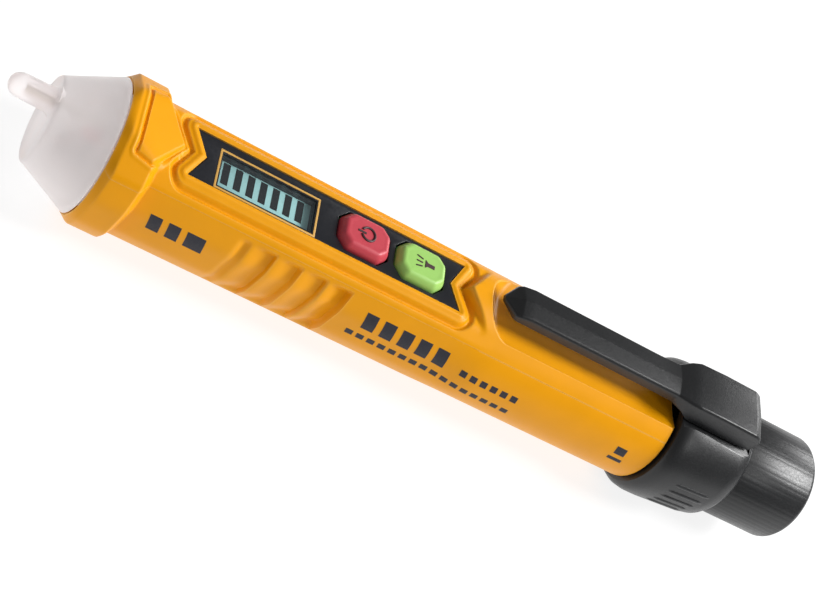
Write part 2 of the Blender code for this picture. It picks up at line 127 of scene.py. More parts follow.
class Surface:
    """A new node material with its Principled shader, and short ways to wire it."""

    def __init__(self, name: str) -> None:
        """Make an empty node material.

        Args:
            name: The new material's name.
        """
        self.material = bpy.data.materials.new(name)
        self.material.use_nodes = True
        self.nodes = self.material.node_tree.nodes

    def give(self, node: Node, inputs: dict[str, object]) -> Node:
        """Wire or set a node's inputs.

        Args:
            node: The node whose inputs are given.
            inputs: Names with low lines for spaces, and for each a socket, a number or a colour.

        Returns:
            The same node.
        """
        for key, value in inputs.items():
            socket = node.inputs[key.replace("_", " ")]
            if isinstance(value, Socket):
                self.material.node_tree.links.new(value, socket)
            elif socket.type == "RGBA":
                socket.default_value = (*value, 1.0)
            else:
                socket.default_value = value
        return node

    def add(self, kind: str, **inputs: object) -> Node:
        """Add a shader node of a kind, and wire or set its inputs."""
        return self.give(self.nodes.new(f"ShaderNode{kind}"), inputs)

    def finish(self, **inputs: object) -> Material:
        """Wire or set inputs of the Principled shader and return the material."""
        self.give(self.nodes["Principled BSDF"], inputs)
        return self.material

    def place(self) -> Socket:
        """Return the Object coordinates."""
        return self.add("TexCoord").outputs["Object"]

    def noise(self, scale: float, detail: float, stretch: tuple[float, ...] = (1.0, 1.0, 1.0)) -> Socket:
        """Return a noise pattern.

        Args:
            scale: Features in each metre.
            detail: Octaves of finer noise.
            stretch: Factors on the three axes.

        Returns:
            The pattern's socket.
        """
        mapping = self.add("Mapping", Vector=self.place(), Scale=stretch)
        pattern = self.add("TexNoise", Vector=mapping.outputs["Vector"], Scale=scale, Detail=detail)
        return pattern.outputs["Fac"]

    def spread(
        self, source: Socket, low: float, high: float, start: float = 0.3, end: float = 0.7
    ) -> Socket:
        """Map a pattern from start..end to low..high."""
        mapped = self.add("MapRange", Value=source, From_Min=start, From_Max=end, To_Min=low, To_Max=high)
        return mapped.outputs["Result"]

    def blend(self, factor: Socket, first: Iterable[float] | Socket, second: Iterable[float]) -> Socket:
        """Blend two colours by a factor.

        Args:
            factor: 0 for the first colour, 1 for the second.
            first: A colour, or a socket that gives one.
            second: The other colour.

        Returns:
            The blended colour's socket.
        """
        mix = self.nodes.new("ShaderNodeMix")
        mix.data_type = "RGBA"
        return self.give(mix, {"Factor": factor, "A": first, "B": second}).outputs["Result"]

    def bump(self, height: Socket, depth: float) -> Socket:
        """Return normals raised by a pattern, whose full height is a depth in metres."""
        return self.add("Bump", Height=height, Distance=depth).outputs["Normal"]


@dataclass(frozen=True)
class MouldedPlastic:
    """A spark eroded plastic moulding: fine grain, soft mottling, and sharp edges lightened as painted
    highlight and light wear.
    """

    name: str
    colour: Colour
    roughness: float
    grain: float = 0.000012
    grain_scale: float = 3200.0
    mottle: float = 0.05
    # Strength of the edge lightening: painted highlight on ridges and creases, together with light edge
    # wear.
    edge_wear_and_highlight: float = 0.12
    specular: float = 0.5
    # When given, the colour laid on sharp edges, which is a painted highlight.
    edge: Colour | None = None

    def build(self) -> Material:
        """Build the finish.

        Returns:
            The finish as a node material.
        """
        surface = Surface(self.name)
        cloud = surface.spread(surface.noise(160.0, 3.0), 0.0, 1.0)
        dark, light = scaled(self.colour, 1.0 - self.mottle), scaled(self.colour, 1.0 + self.mottle)
        base = surface.blend(cloud, dark, light)
        # Sharp ridges are lightened towards a brighter colour: painted highlight along ridges and creases,
        # with some edge wear.
        ridges = surface.add("NewGeometry").outputs["Pointiness"]
        ridge_wear_and_highlight = surface.spread(ridges, 0.0, self.edge_wear_and_highlight * 4.0, 0.51, 0.60)
        wear_and_highlight_colour = self.edge or scaled(self.colour, 1.0 + 4.0 * self.edge_wear_and_highlight)
        grain = surface.noise(self.grain_scale, 2.0)
        return surface.finish(
            Base_Color=surface.blend(ridge_wear_and_highlight, base, wear_and_highlight_colour),
            Roughness=surface.spread(grain, self.roughness - 0.05, self.roughness + 0.07),
            Specular_IOR_Level=self.specular,
            Normal=surface.bump(grain, self.grain),
        )


@dataclass(frozen=True)
class FrostedPlastic:
    """A milky moulding that passes light but hides sharp detail, with an even emission as a painted glow for
    light passing through it.

    clear_end, if given, holds the two x at which it starts to clear and is clearest, and how clear.
    """

    name: str
    colour: Colour
    clearness: float
    roughness: float
    painted_glow: float = 0.0
    clear_end: tuple[float, float, float] | None = None

    def build(self) -> Material:
        """Build the finish.

        Returns:
            The finish as a node material.
        """
        surface = Surface(self.name)
        cloud = surface.noise(260.0, 4.0)
        milk = surface.spread(cloud, 0.0, 1.0)
        clearness = self.clearness
        if self.clear_end:
            start, end, clearest = self.clear_end
            split = surface.add("SeparateXYZ", Vector=surface.place())
            clearness = surface.spread(split.outputs["X"], self.clearness, clearest, start, end)
        return surface.finish(
            Base_Color=surface.blend(milk, scaled(self.colour, 0.96), scaled(self.colour, 1.03)),
            Roughness=surface.spread(cloud, self.roughness - 0.04, self.roughness + 0.04),
            # Painted glow: an even emission standing in for light that passes through the frosted wall.
            Emission_Color=self.colour,
            Emission_Strength=self.painted_glow,
            Transmission_Weight=clearness,
            IOR=1.36,
        )


@dataclass(frozen=True)
class ClearWindow:
    """A thin polished sheet that only its gloss gives away."""

    name: str
    colour: Colour
    cover: float

    def build(self) -> Material:
        """Build the finish.

        Returns:
            The finish as a node material.
        """
        surface = Surface(self.name)
        haze = surface.noise(900.0, 2.0)
        return surface.finish(
            Base_Color=surface.blend(haze, scaled(self.colour, 0.95), self.colour),
            Roughness=surface.spread(haze, 0.04, 0.10),
            Alpha=self.cover,
            Specular_IOR_Level=0.2,
        )


@dataclass(frozen=True)
class PlatedMetal:
    """A plated or bare metal part with fine drawing lines."""

    name: str
    colour: Colour
    roughness: float
    stretch: tuple[float, float, float] = (0.08, 1.0, 1.0)
    metallic: float = 1.0

    def build(self) -> Material:
        """Build the finish.

        Returns:
            The finish as a node material.
        """
        surface = Surface(self.name)
        lines = surface.noise(2400.0, 3.0, self.stretch)
        return surface.finish(
            Base_Color=surface.blend(lines, scaled(self.colour, 0.86), scaled(self.colour, 1.08)),
            Roughness=surface.spread(lines, self.roughness - 0.07, self.roughness + 0.12),
            Metallic=self.metallic,
            Normal=surface.bump(lines, 0.000006),
        )


@dataclass(frozen=True)
class PatternedBoard:
    """Solder mask over copper tracks: a darker green with a faint orthogonal pattern."""

    name: str
    mask: Colour
    track: Colour

    def build(self) -> Material:
        """Build the finish.

        Returns:
            The finish as a node material.
        """
        surface = Surface(self.name)
        tracks = surface.add("TexBrick", Vector=surface.place(), Scale=420.0, Mortar_Size=0.035,
                             Color1=self.mask, Color2=scaled(self.mask, 1.15), Mortar=self.track)
        return surface.finish(
            Base_Color=tracks.outputs["Color"],
            Roughness=surface.spread(tracks.outputs["Fac"], 0.34, 0.26, 0.0, 1.0),
            Normal=surface.bump(tracks.outputs["Fac"], 0.00002),
        )


class Palette:
    """Builds each finish once and dresses pieces and frame nodes with it."""

    FINE = 0.000004
    FINE_INK = 0.000003
    FINEST = 0.000002

    def __init__(self) -> None:
        """Build the material of every slot, and the few that no slot names."""
        # The yellow's cream edge colour is a painted highlight along its ridges and creases.
        yellow = MouldedPlastic("yellow_shell", (0.90, 0.368, 0.001), 0.36, mottle=0.03, edge_wear_and_highlight=0.11,
                                specular=0.18, edge=(1.0, 0.66, 0.20))
        black = MouldedPlastic("black_shell", (0.0085, 0.009, 0.010), 0.345, mottle=0.10, edge_wear_and_highlight=0.25)
        film = MouldedPlastic("fascia_film", (0.008, 0.009, 0.013), 0.345, grain=self.FINE, mottle=0.12)
        glass = MouldedPlastic("display_sheet", (0.34, 0.62, 0.62), 0.30, grain=self.FINEST, mottle=0.06)
        finishes = {
            Slot.YELLOW: yellow,
            Slot.BLACK: black,
            Slot.FASCIA: film,
            # The nose's 0.075 emission is a painted glow for light passing through it.
            Slot.FROSTED: FrostedPlastic("frosted_nose", (0.98, 0.93, 0.925), 0.46, 0.335, 0.075,
                                         (-0.0722, -0.0738, 0.86)),
            Slot.WHITE: MouldedPlastic("white_holder", (0.80, 0.80, 0.78), 0.45),
            Slot.LENS: FrostedPlastic("lamp_epoxy", (0.92, 0.94, 0.97), 0.75, 0.12),
            Slot.RED: MouldedPlastic("red_key", (0.60, 0.060, 0.085), 0.40, mottle=0.05, edge_wear_and_highlight=0.2),
            Slot.GREEN: MouldedPlastic("green_key", (0.36, 0.66, 0.15), 0.40, mottle=0.05, edge_wear_and_highlight=0.2),
            Slot.WINDOW: ClearWindow("clear_window", (0.30, 0.34, 0.36), 0.05),
            Slot.DISPLAY: glass,
            Slot.BOARD: PatternedBoard("solder_mask", (0.015, 0.16, 0.055), (0.05, 0.30, 0.10)),
            Slot.CAPACITOR: MouldedPlastic("capacitor_resin", (0.72, 0.42, 0.05), 0.35),
            Slot.METAL: PlatedMetal("plated_metal", (0.78, 0.75, 0.68), 0.25),
            Slot.CELL: PlatedMetal("cell_jacket", (0.11, 0.13, 0.22), 0.30, metallic=0.4),
            Slot.RUBBER: MouldedPlastic("seal_rubber", (0.02, 0.02, 0.02), 0.75, mottle=0.1),
        }
        self.materials = {slot: finish.build() for slot, finish in finishes.items()}
        gold = MouldedPlastic("gold_line", (0.58, 0.33, 0.08), 0.38, grain=self.FINE_INK)
        ink = MouldedPlastic("blue_black_ink", (0.010, 0.010, 0.020), 0.60, grain=self.FINE_INK)
        segment = MouldedPlastic("display_segment", (0.004, 0.005, 0.006), 0.5, grain=self.FINEST,
                                 specular=0.15)
        icon = MouldedPlastic("key_icon_ink", (0.05, 0.022, 0.024), 0.5, grain=self.FINE_INK)
        self.gold_line = gold.build()
        self.ink = ink.build()
        self.segment = segment.build()
        self.icon_ink = icon.build()

    def dress(self, piece: Piece, slot: Slot, material: Material | None = None) -> None:
        """Give a piece one finish.

        Args:
            piece: The object to dress.
            slot: The record's slot, whose own material is used unless another is given.
            material: A special finish that takes the slot's place.
        """
        piece.data.materials.clear()
        piece.data.materials.append(material or self.materials[slot])

    def dress_frame(self, frame: dict) -> None:
        """Give every carried-over frame node the material of its slot.

        Args:
            frame: The loaded frame, with its record and its nodes.
        """
        for part in frame["record"]["subparts"]:
            node = frame["nodes"].get(part["node"])
            if node is not None:
                self.dress(node, Slot(part["material_slot"]))


# ---------------------------------------------------------------- modelling by operators


def at(x: float, y: float = 0.0, z: float = 0.0) -> Vector:
    """Return a place given in millimetres about the pen's axis, in metres in the frame."""
    return Vector((x, y, z + AXIS_HEIGHT)) * MM


def to_mode(mode: str) -> None:
    """Switch the active object to object or edit mode if it isn't in it already."""
    if bpy.context.object is not None and bpy.context.object.mode != mode:
        bpy.ops.object.mode_set(mode=mode)


def deselect_all() -> None:
    """Leave edit mode and clear the selection."""
    to_mode("OBJECT")
    bpy.ops.object.select_all(action="DESELECT")


def take(piece: Piece) -> Piece:
    """Make a piece the only selected object, and the active one.

    Args:
        piece: The object to select.

    Returns:
        The same object.
    """
    deselect_all()
    piece.select_set(True)
    bpy.context.view_layer.objects.active = piece
    return piece


def adopt(name: str) -> Piece:
    """Name the primitive just added and put its place into its mesh.

    Args:
        name: The name for the object and its mesh.

    Returns:
        The named object.
    """
    piece = bpy.context.object
    piece.name = name
    piece.data.name = name
    bpy.ops.object.transform_apply(location=True, rotation=True, scale=True)
    return piece


def pick(kind: str, test: Callable[[Element], bool]) -> None:
    """Select, in edit mode, only the elements that pass a test.

    Args:
        kind: VERT, EDGE or FACE.
        test: Says whether an element is wanted.
    """
    bpy.ops.mesh.select_mode(type=kind)
    bpy.ops.mesh.select_all(action="DESELECT")
    mesh = bpy.context.object.data
    bm = bmesh.from_edit_mesh(mesh)
    elements = {"VERT": bm.verts, "EDGE": bm.edges, "FACE": bm.faces}[kind]
    for element in elements:
        if test(element):
            element.select_set(True)
    bm.select_flush_mode()
    bmesh.update_edit_mesh(mesh)


def modify(piece: Piece, kind: str, **settings: object) -> None:
    """Add one modifier with its settings and apply it.

    Args:
        piece: The object to change.
        kind: The modifier's type.
        settings: Its properties by name.
    """
    take(piece)
    modifier = piece.modifiers.new(kind.title(), kind)
    for key, value in settings.items():
        setattr(modifier, key, value)
    bpy.ops.object.modifier_apply(modifier=modifier.name)


def combine(piece: Piece, tool: Piece, operation: str) -> None:
    """Apply one exact Boolean of a tool to a piece and remove the tool."""
    modify(piece, "BOOLEAN", operation=operation, solver="EXACT", object=tool)
    bpy.data.objects.remove(tool, do_unlink=True)


def soften(piece: Piece, width: float, segments: int = 2, angle: float = 30.0) -> None:
    """Round every edge sharper than an angle, by a width in millimetres."""
    modify(piece, "BEVEL", width=width * MM, segments=segments, limit_method="ANGLE",
           angle_limit=math.radians(angle), use_clamp_overlap=True)


def settle(piece: Piece, angle: float = 30.0) -> Piece:
    """Merge doubles, turn the faces outwards and shade the piece smooth up to an angle.

    Args:
        piece: The object to clean up.
        angle: Edges sharper than this, in degrees, stay crisp.

    Returns:
        The same object.
    """
    take(piece)
    to_mode("EDIT")
    bpy.ops.mesh.select_all(action="SELECT")
    bpy.ops.mesh.remove_doubles(threshold=0.000001)
    bpy.ops.mesh.normals_make_consistent(inside=False)
    to_mode("OBJECT")
    bpy.ops.object.shade_smooth_by_angle(angle=math.radians(angle))
    return piece


def turn(name: str, profile: Profile, vertices: int = 96, centre: float = 0.0) -> Piece:
    """Turn a profile about an axis along X by extruding and resizing one ring.

    Args:
        name: The new object's name.
        profile: Pairs of x and radius, from one closed end to the other.
        vertices: Steps round the axis.
        centre: Height of the turning axis.

    Returns:
        The closed, turned object.
    """
    x, radius = profile[0]
    deselect_all()
    bpy.ops.mesh.primitive_circle_add(vertices=vertices, radius=radius * MM, fill_type="NGON",
                                      location=at(x, 0.0, centre), rotation=(0.0, QUARTER, 0.0))
    piece = adopt(name)
    to_mode("EDIT")
    bpy.ops.mesh.select_all(action="SELECT")
    for next_x, next_radius in profile[1:]:
        ratio = next_radius / radius
        bpy.ops.mesh.extrude_region_move(TRANSFORM_OT_translate={"value": ((next_x - x) * MM, 0.0, 0.0)})
        bpy.ops.transform.resize(value=(1.0, ratio, ratio), center_override=at(next_x, 0.0, centre))
        x, radius = next_x, next_radius
    return settle(piece)


def set_ring(piece: Piece, x: float, old: list[Vector], outline: Outline) -> list[Vector]:
    """Move the selected ring of points from its old places to a new outline.

    Args:
        piece: The object in edit mode.
        x: The station of the new outline.
        old: The places that the ring's points have now, in order.
        outline: Pairs of y and z for the new outline, in the same order.

    Returns:
        The ring's new places.
    """
    bm = bmesh.from_edit_mesh(piece.data)
    ring = [vert for vert in bm.verts if vert.select]
    new = [at(x, y, z) for y, z in outline]
    for vert in ring:
        nearest = min(range(len(old)), key=lambda i: (vert.co - old[i]).length)
        vert.co = new[nearest]
    bmesh.update_edit_mesh(piece.data)
    return new


def loft(name: str, stations: list[tuple[float, Outline]]) -> Piece:
    """Skin outlines set one behind the other along X, by extruding one ring.

    Args:
        name: The new object's name.
        stations: Pairs of x and outline; every outline has the same number of points.

    Returns:
        The closed object.
    """
    first_x, first = stations[0]
    deselect_all()
    bpy.ops.mesh.primitive_circle_add(vertices=len(first), radius=MM, fill_type="NGON",
                                      location=at(first_x), rotation=(0.0, QUARTER, 0.0))
    piece = adopt(name)
    start = [vert.co.copy() for vert in piece.data.vertices]
    to_mode("EDIT")
    bpy.ops.mesh.select_all(action="SELECT")
    places = set_ring(piece, first_x, start, first)
    for x, outline in stations[1:]:
        bpy.ops.mesh.extrude_region_move(TRANSFORM_OT_translate={"value": (0.0, 0.0, 0.0)})
        places = set_ring(piece, x, places, outline)
    return settle(piece)


def bar(name: str, low: tuple[float, float, float], high: tuple[float, float, float]) -> Piece:
    """Add a block between two corners, as a start for a piece or a cutter.

    Args:
        name: The new object's name.
        low: The corner with the least x, y and z.
        high: The corner opposite to it.

    Returns:
        The block.
    """
    size = [(b - a) * MM for a, b in zip(low, high)]
    deselect_all()
    bpy.ops.mesh.primitive_cube_add(size=1.0, location=(at(*low) + at(*high)) / 2, scale=size)
    return adopt(name)


def plate(name: str, outline: Outline, low: float, high: float) -> Piece:
    """Raise a flat outline of x and y pairs from one height to another.

    Args:
        name: The new object's name.
        outline: The outline, anticlockwise.
        low: Height of the underside.
        high: Height of the top.

    Returns:
        The plate.
    """
    deselect_all()
    bpy.ops.mesh.primitive_circle_add(vertices=len(outline), radius=MM, fill_type="NGON", location=at(0.0))
    piece = adopt(name)
    for vert, (x, y) in zip(piece.data.vertices, outline):
        vert.co = at(x, y, low)
    to_mode("EDIT")
    bpy.ops.mesh.select_all(action="SELECT")
    bpy.ops.mesh.extrude_region_move(TRANSFORM_OT_translate={"value": (0.0, 0.0, (high - low) * MM)})
    return settle(piece)


def octagon(centre: tuple[float, float], size: tuple[float, float], corner: float) -> Outline:
    """Outline a rectangle with its corners cut.

    Args:
        centre: The x and y of its middle.
        size: Its length and width.
        corner: How much of each side a cut corner takes.

    Returns:
        Its eight corners, anticlockwise.
    """
    x, y = centre
    a, b = size[0] / 2, size[1] / 2
    return [(x - a, y - b + corner), (x - a + corner, y - b), (x + a - corner, y - b),
            (x + a, y - b + corner), (x + a, y + b - corner), (x + a - corner, y + b),
            (x - a + corner, y + b), (x - a, y + b - corner)]


def join(pieces: list[Piece], name: str) -> Piece:
    """Join several objects into one mesh and name it.

    Args:
        pieces: The objects, of which the first takes in the others.
        name: The name for the object and its mesh.

    Returns:
        The joined object.
    """
    deselect_all()
    for piece in pieces:
        piece.select_set(True)
    bpy.context.view_layer.objects.active = pieces[0]
    bpy.ops.object.join()
    pieces[0].name = name
    pieces[0].data.name = name
    return pieces[0]


class SubAssembly:
    """A group of pieces that share a palette and are handed to the frame in the same way."""

    def __init__(self, palette: Palette, sizes: object) -> None:
        """Keep the palette that dresses the pieces, and their sizes."""
        self.palette = palette
        self.sizes = sizes

    def hand_over(
        self, piece: Piece, body: Body, slot: Slot, *nodes: str,
        material: Material | None = None
    ) -> Piece:
        """Dress a finished piece and tie it to the frame.

        Args:
            piece: The finished object.
            body: The body that it rides on.
            slot: The record's slot of its finish.
            nodes: Frame nodes that it stands for.
            material: A finish other than the slot's own.

        Returns:
            The same object.
        """
        self.palette.dress(piece, slot, material)
        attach(piece, body.value)
        if nodes:
            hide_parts(*nodes)
        log.info("%s: %d faces on %s", piece.name, len(piece.data.polygons), body.value)
        return piece


# ---------------------------------------------------------------- fields that shape the shells


def ramp(value: np.ndarray, start: float, end: float) -> np.ndarray:
    """Return a smooth step from 0 at start to 1 at end."""
    share = np.clip((value - start) / (end - start), 0.0, 1.0)
    return share * share * (3.0 - 2.0 * share)


def hump(value: np.ndarray, centre: float, half: float) -> np.ndarray:
    """Return a rounded bump of height 1 about a centre."""
    share = np.clip(np.abs(value - centre) / half, 0.0, 1.0)
    return (1.0 - share * share) ** 2


def faceted(
    angle: np.ndarray, facets: list[tuple[float, np.ndarray | float]], sharpness: float
) -> np.ndarray:
    """Return the radius of a rounded many sided section.

    Args:
        angle: Angles round the axis, in radians.
        facets: Pairs of the way a facet faces, in degrees, and its distance from the axis.
        sharpness: How crisp the corners are.

    Returns:
        The radius at each angle.
    """
    total = np.zeros_like(angle)
    for facing, distance in facets:
        reach = np.maximum(np.cos(angle - math.radians(facing)), 0.0) / distance
        total += reach ** sharpness
    return total ** (-1.0 / sharpness)


def outline_distance(x: np.ndarray, y: np.ndarray, outline: Outline) -> np.ndarray:
    """Measure how far points lie outside a closed outline.

    Args:
        x: The x of each point.
        y: The y of each point.
        outline: The corners of the outline, in order.

    Returns:
        The distance at each point, negative within the outline.
    """
    nearest = np.full_like(x, 1e9)
    inside = np.zeros(x.shape, dtype=bool)
    for (ax, ay), (bx, by) in zip(outline, outline[1:] + outline[:1]):
        ex, ey = bx - ax, by - ay
        share = np.clip(((x - ax) * ex + (y - ay) * ey) / (ex * ex + ey * ey), 0.0, 1.0)
        nearest = np.minimum(nearest, np.hypot(x - ax - share * ex, y - ay - share * ey))
        crosses = ((ay > y) != (by > y)) & (x < ex * (y - ay) / (ey if ey else 1e-9) + ax)
        inside ^= crosses
    return np.where(inside, -nearest, nearest)


def both_sides(facets: list[tuple[float, float]]) -> list[tuple[float, float]]:
    """Mirror the facets of the +Y half to the -Y half."""
    mirrored = [(180.0 - facing, distance) for facing, distance in facets if abs(facing) != 90.0]
    return facets + mirrored


# ---------------------------------------------------------------- the yellow casing


@dataclass(frozen=True)
class ReliefLine:
    """A line that follows an outline: how far outside it, its half width and its depth."""

    offset: float
    half: float
    depth: float

    def drop(self, distance: np.ndarray) -> np.ndarray:
        """Return the drop of the surface at distances outside the outline."""
        return self.depth * hump(distance, self.offset, self.half)


@dataclass(frozen=True)
class MarkRow:
    """A row of equal printed bars: where the first starts, their size, number and pitch."""

    x: float
    z: float
    wide: float
    tall: float
    count: int = 1
    pitch: float = 0.0


@dataclass
class CasingSizes:
    """Sizes of the two yellow shells."""

    front: float = -63.5
    chamfer_end: float = -62.3
    front_radius: float = 11.6
    flare_end: float = -57.4
    flare_slope: float = 1.3
    flare_apex: float = 4.6
    apex_half: float = 6.6
    pad_end: float = -52.0
    pad_slope: float = 0.256
    panel_start: float = -51.5
    panel_end: float = -0.9
    panel_half: float = 4.5
    notch: float = 2.4
    deck: float = 9.25
    split: float = 7.2
    pocket_margin: float = 0.12
    seam: float = 0.03
    mean_radius: float = 12.0
    rear_apex: float = -1.2
    rear_sweep: float = 0.72
    rear_half: float = 6.5
    rear_radius: float = 11.1
    crease: float = 1.5
    relief_foot: tuple[float, float] = (5.0, 6.5)
    flank_start: tuple[float, float] = (5.8, 8.0)
    flank_blend: tuple[float, float] = (-1.0, 9.0)
    end: float = 46.0
    end_drop: float = 0.5
    channel_front: float = 4.3
    channel_half: float = 6.2
    channel_floor: float = 8.15
    channel_rise: float = 3.2
    channel_bow: float = 1.6
    channel_dish: float = 0.95
    channel_lift: float = 2.8
    channel_bank: float = 12.0
    scallop_start: float = -37.6
    scallop_pitch: float = 4.65
    scallops: int = 4
    scallop_depth: float = 0.90
    last_depth: float = 1.30
    lead_depth: float = 0.45
    scallop_foot: tuple[float, float] = (-7.6, -6.2)
    scallop_head: tuple[float, float] = (5.7, 6.7)
    wall: float = 1.0
    crisp: float = 55.0


class Casing(SubAssembly):
    """The upper and lower yellow shells and the marks printed on them."""

    GRIP = [(58.0, 10.9), (22.0, 10.5), (0.0, 10.2), (-22.0, 10.8), (-45.0, 11.3), (-68.0, 10.9),
            (-90.0, 10.5)]
    FLARE = [(58.0, 12.25), (22.0, 12.35), (0.0, 12.1), (-22.0, 12.4), (-45.0, 12.5), (-68.0, 12.3),
             (-90.0, 12.0)]
    PAD = [(-60.4, -6.0), (-57.7, -6.5), (-53.1, 0.0), (-57.7, 6.5), (-60.4, 6.0)]
    RIM_GROOVE = ReliefLine(2.45, 0.72, 0.62)
    RIM_RIDGE = ReliefLine(0.80, 0.70, -0.24)
    PAD_GROOVE = ReliefLine(0.28, 0.42, 0.42)
    PAD_RIDGE = ReliefLine(0.95, 0.45, -0.16)
    TURN_SPANS = [(-90.0, 5.0, 40), (5.0, 20.0, 10), (20.0, 76.0, 74), (76.0, 90.0, 10)]
    LENGTH_SPANS = [(-63.5, -61.6, 10), (-61.6, -48.4, 80), (-48.4, -39.0, 16), (-39.0, -18.0, 84),
                    (-18.0, -4.5, 20), (-4.5, 9.0, 58), (9.0, 45.2, 28), (45.2, 46.0, 4)]
    MARKS = [MarkRow(-53.2, 1.9, 2.1, 3.2, 2, 3.2), MarkRow(-46.8, 1.9, 3.2, 3.2),
             MarkRow(-14.6, 3.0, 2.3, 3.4, 5, 3.5), MarkRow(4.9, 2.6, 1.3, 1.3, 6, 2.1),
             MarkRow(-15.6, -0.9, 1.4, 1.2, 16, 2.1), MarkRow(38.4, 2.6, 2.2, 1.7),
             MarkRow(38.4, 0.4, 3.0, 0.8)]
    MARK_SLANT = 0.22

    def panel_outline(self, margin: float = 0.0) -> Outline:
        """Outline the fascia: a long bar with a V notch in each end.

        Args:
            margin: How far the outline is grown.

        Returns:
            Its corners, anticlockwise.
        """
        s = self.sizes
        left, right, half = s.panel_start - margin, s.panel_end + margin, s.panel_half + margin
        return [(left, -half), (right, -half), (right - s.notch, 0.0), (right, half), (left, half),
                (left + s.notch, 0.0)]

    def radius(self, x: np.ndarray, angle: np.ndarray) -> np.ndarray:
        """Work out the plain outer form, before any relief.

        Args:
            x: Places along the pen.
            angle: Angles round its axis, in radians, where a quarter turn is the top.

        Returns:
            The radius at each point.
        """
        s = self.sizes
        slope = s.deck + s.pad_slope * np.clip(s.pad_end - x, 0.0, None)
        grip = faceted(angle, both_sides(self.GRIP) + [(90.0, s.deck)], s.crisp)
        flare = faceted(angle, both_sides(self.FLARE) + [(90.0, slope)], s.crisp)
        across = np.abs(s.mean_radius * np.cos(angle))
        over = np.sin(angle) > 0.0
        apex = np.where(over, np.clip(1.0 - across / s.apex_half, 0.0, 1.0), 0.0) * s.flare_apex
        foot = ramp(x - s.flare_end - apex, -0.2, s.flare_slope)
        radius = flare * (1.0 - foot) + grip * foot
        chamfer = np.clip((s.chamfer_end - x) / (s.chamfer_end - s.front), 0.0, 1.0)
        radius = radius * (1.0 - chamfer) + np.minimum(radius, s.front_radius) * chamfer
        sweep = s.rear_apex + s.rear_sweep * np.minimum(across, s.rear_half)
        crease = ramp(x - sweep, 0.0, s.crease)
        flank = ramp(x, *s.flank_blend)
        beside = np.where(over, ramp(across, *s.flank_start), 1.0)
        fade = crease * (1.0 - beside) + flank * beside
        radius = radius * (1.0 - fade) + s.rear_radius * fade
        return radius - s.end_drop * ramp(x, s.end - s.end_drop, s.end)

    def relief(self, x: np.ndarray, y: np.ndarray, z: np.ndarray) -> np.ndarray:
        """Shape the grooves and ridges round the fascia and the pad.

        Args:
            x: Places along the pen.
            y: Places across it.
            z: Heights, which keep the relief to the top.

        Returns:
            How far the surface drops at each point.
        """
        s = self.sizes
        frame = outline_distance(x, y, self.panel_outline())
        pad = outline_distance(x, y, self.PAD)
        top = ramp(z, *s.relief_foot)
        rim = ramp(frame, 1.5, 1.9) * (x < s.rear_apex + 5.0)
        drop = self.RIM_GROOVE.drop(frame) * rim + self.RIM_RIDGE.drop(frame)
        drop = drop + self.PAD_GROOVE.drop(pad) * (x > s.chamfer_end + 0.3)
        drop = drop + self.PAD_RIDGE.drop(pad) * (x < s.pad_end) * (x > s.chamfer_end - 0.2)
        return drop * top

    def channel(self, x: np.ndarray, y: np.ndarray) -> np.ndarray:
        """Shape the clip channel: a dished floor with a rounded front.

        Args:
            x: Places along the pen.
            y: Places across it.

        Returns:
            The height that the surface may reach at each point.
        """
        s = self.sizes
        across = np.abs(y) / s.channel_half
        begin = s.channel_front + s.channel_bow * across ** 3
        floor = s.channel_floor + s.channel_dish * across ** 2
        rise = np.clip((begin + s.channel_rise - x) / s.channel_rise, 0.0, None)
        wall = np.clip(across - 1.0, 0.0, None)
        return floor + s.channel_lift * rise ** 2 + s.channel_bank * wall

    def scallops(self, x: np.ndarray, z: np.ndarray) -> np.ndarray:
        """Shape the finger scallops pressed into each flank.

        Args:
            x: Places along the pen.
            z: Heights, which end the scallops above and below.

        Returns:
            The depth at each point.
        """
        s = self.sizes
        share = (x - s.scallop_start) / s.scallop_pitch
        number = np.floor(share)
        within = share - number
        depth = np.where((number >= 0) & (number < s.scallops), ramp(within, 0.0, 0.9), 0.0)
        depth = depth * (1.0 - ramp(within, 0.92, 1.0))
        deeper = np.where(number == s.scallops - 1, s.last_depth, s.scallop_depth)
        lead = s.lead_depth * hump(x, s.scallop_start - 0.9, 1.0)
        return (depth * deeper + lead) * ramp(z, *s.scallop_foot) * (1.0 - ramp(z, *s.scallop_head))

    def skin(self) -> Piece:
        """Add a fine grid, roll it round the axis and press it into the casing's outer form.

        Returns:
            The open skin of the whole casing.
        """
        angles = self.stations(self.TURN_SPANS)
        half = angles[:-1]
        ring = np.radians(np.concatenate([half, [90.0], 180.0 - half[:0:-1]]))
        rows = self.stations(self.LENGTH_SPANS)
        deselect_all()
        bpy.ops.mesh.primitive_grid_add(x_subdivisions=len(rows) - 1, y_subdivisions=len(ring),
                                        size=1.0, location=at(0.0))
        piece = adopt("casing_skin")
        x, angle = np.meshgrid(rows, np.append(ring, ring[0] + 2 * math.pi), indexing="ij")
        x, angle = x.T.ravel(), angle.T.ravel()
        radius = self.radius(x, angle)
        y, z = radius * np.cos(angle), radius * np.sin(angle)
        sunk = self.scallops(x, z) * ramp(np.abs(y), 6.0, 8.0)
        radius = radius - sunk
        y, z = radius * np.cos(angle), radius * np.sin(angle)
        z = z - self.relief(x, y, z)
        z = np.where(z > 0.0, np.minimum(z, self.channel(x, y)), z)
        z = np.maximum(z, -AXIS_HEIGHT)
        places = np.stack([x, y, z + AXIS_HEIGHT], axis=1) * MM
        piece.data.vertices.foreach_set("co", places.ravel().astype(np.float32))
        piece.data.update()
        return settle(piece, 60.0)

    @staticmethod
    def stations(spans: list[tuple[float, float, int]]) -> np.ndarray:
        """Return evenly spaced values in each of several spans set end to end."""
        values = [np.linspace(low, high, count, endpoint=False) for low, high, count in spans]
        return np.append(np.concatenate(values), spans[-1][1])

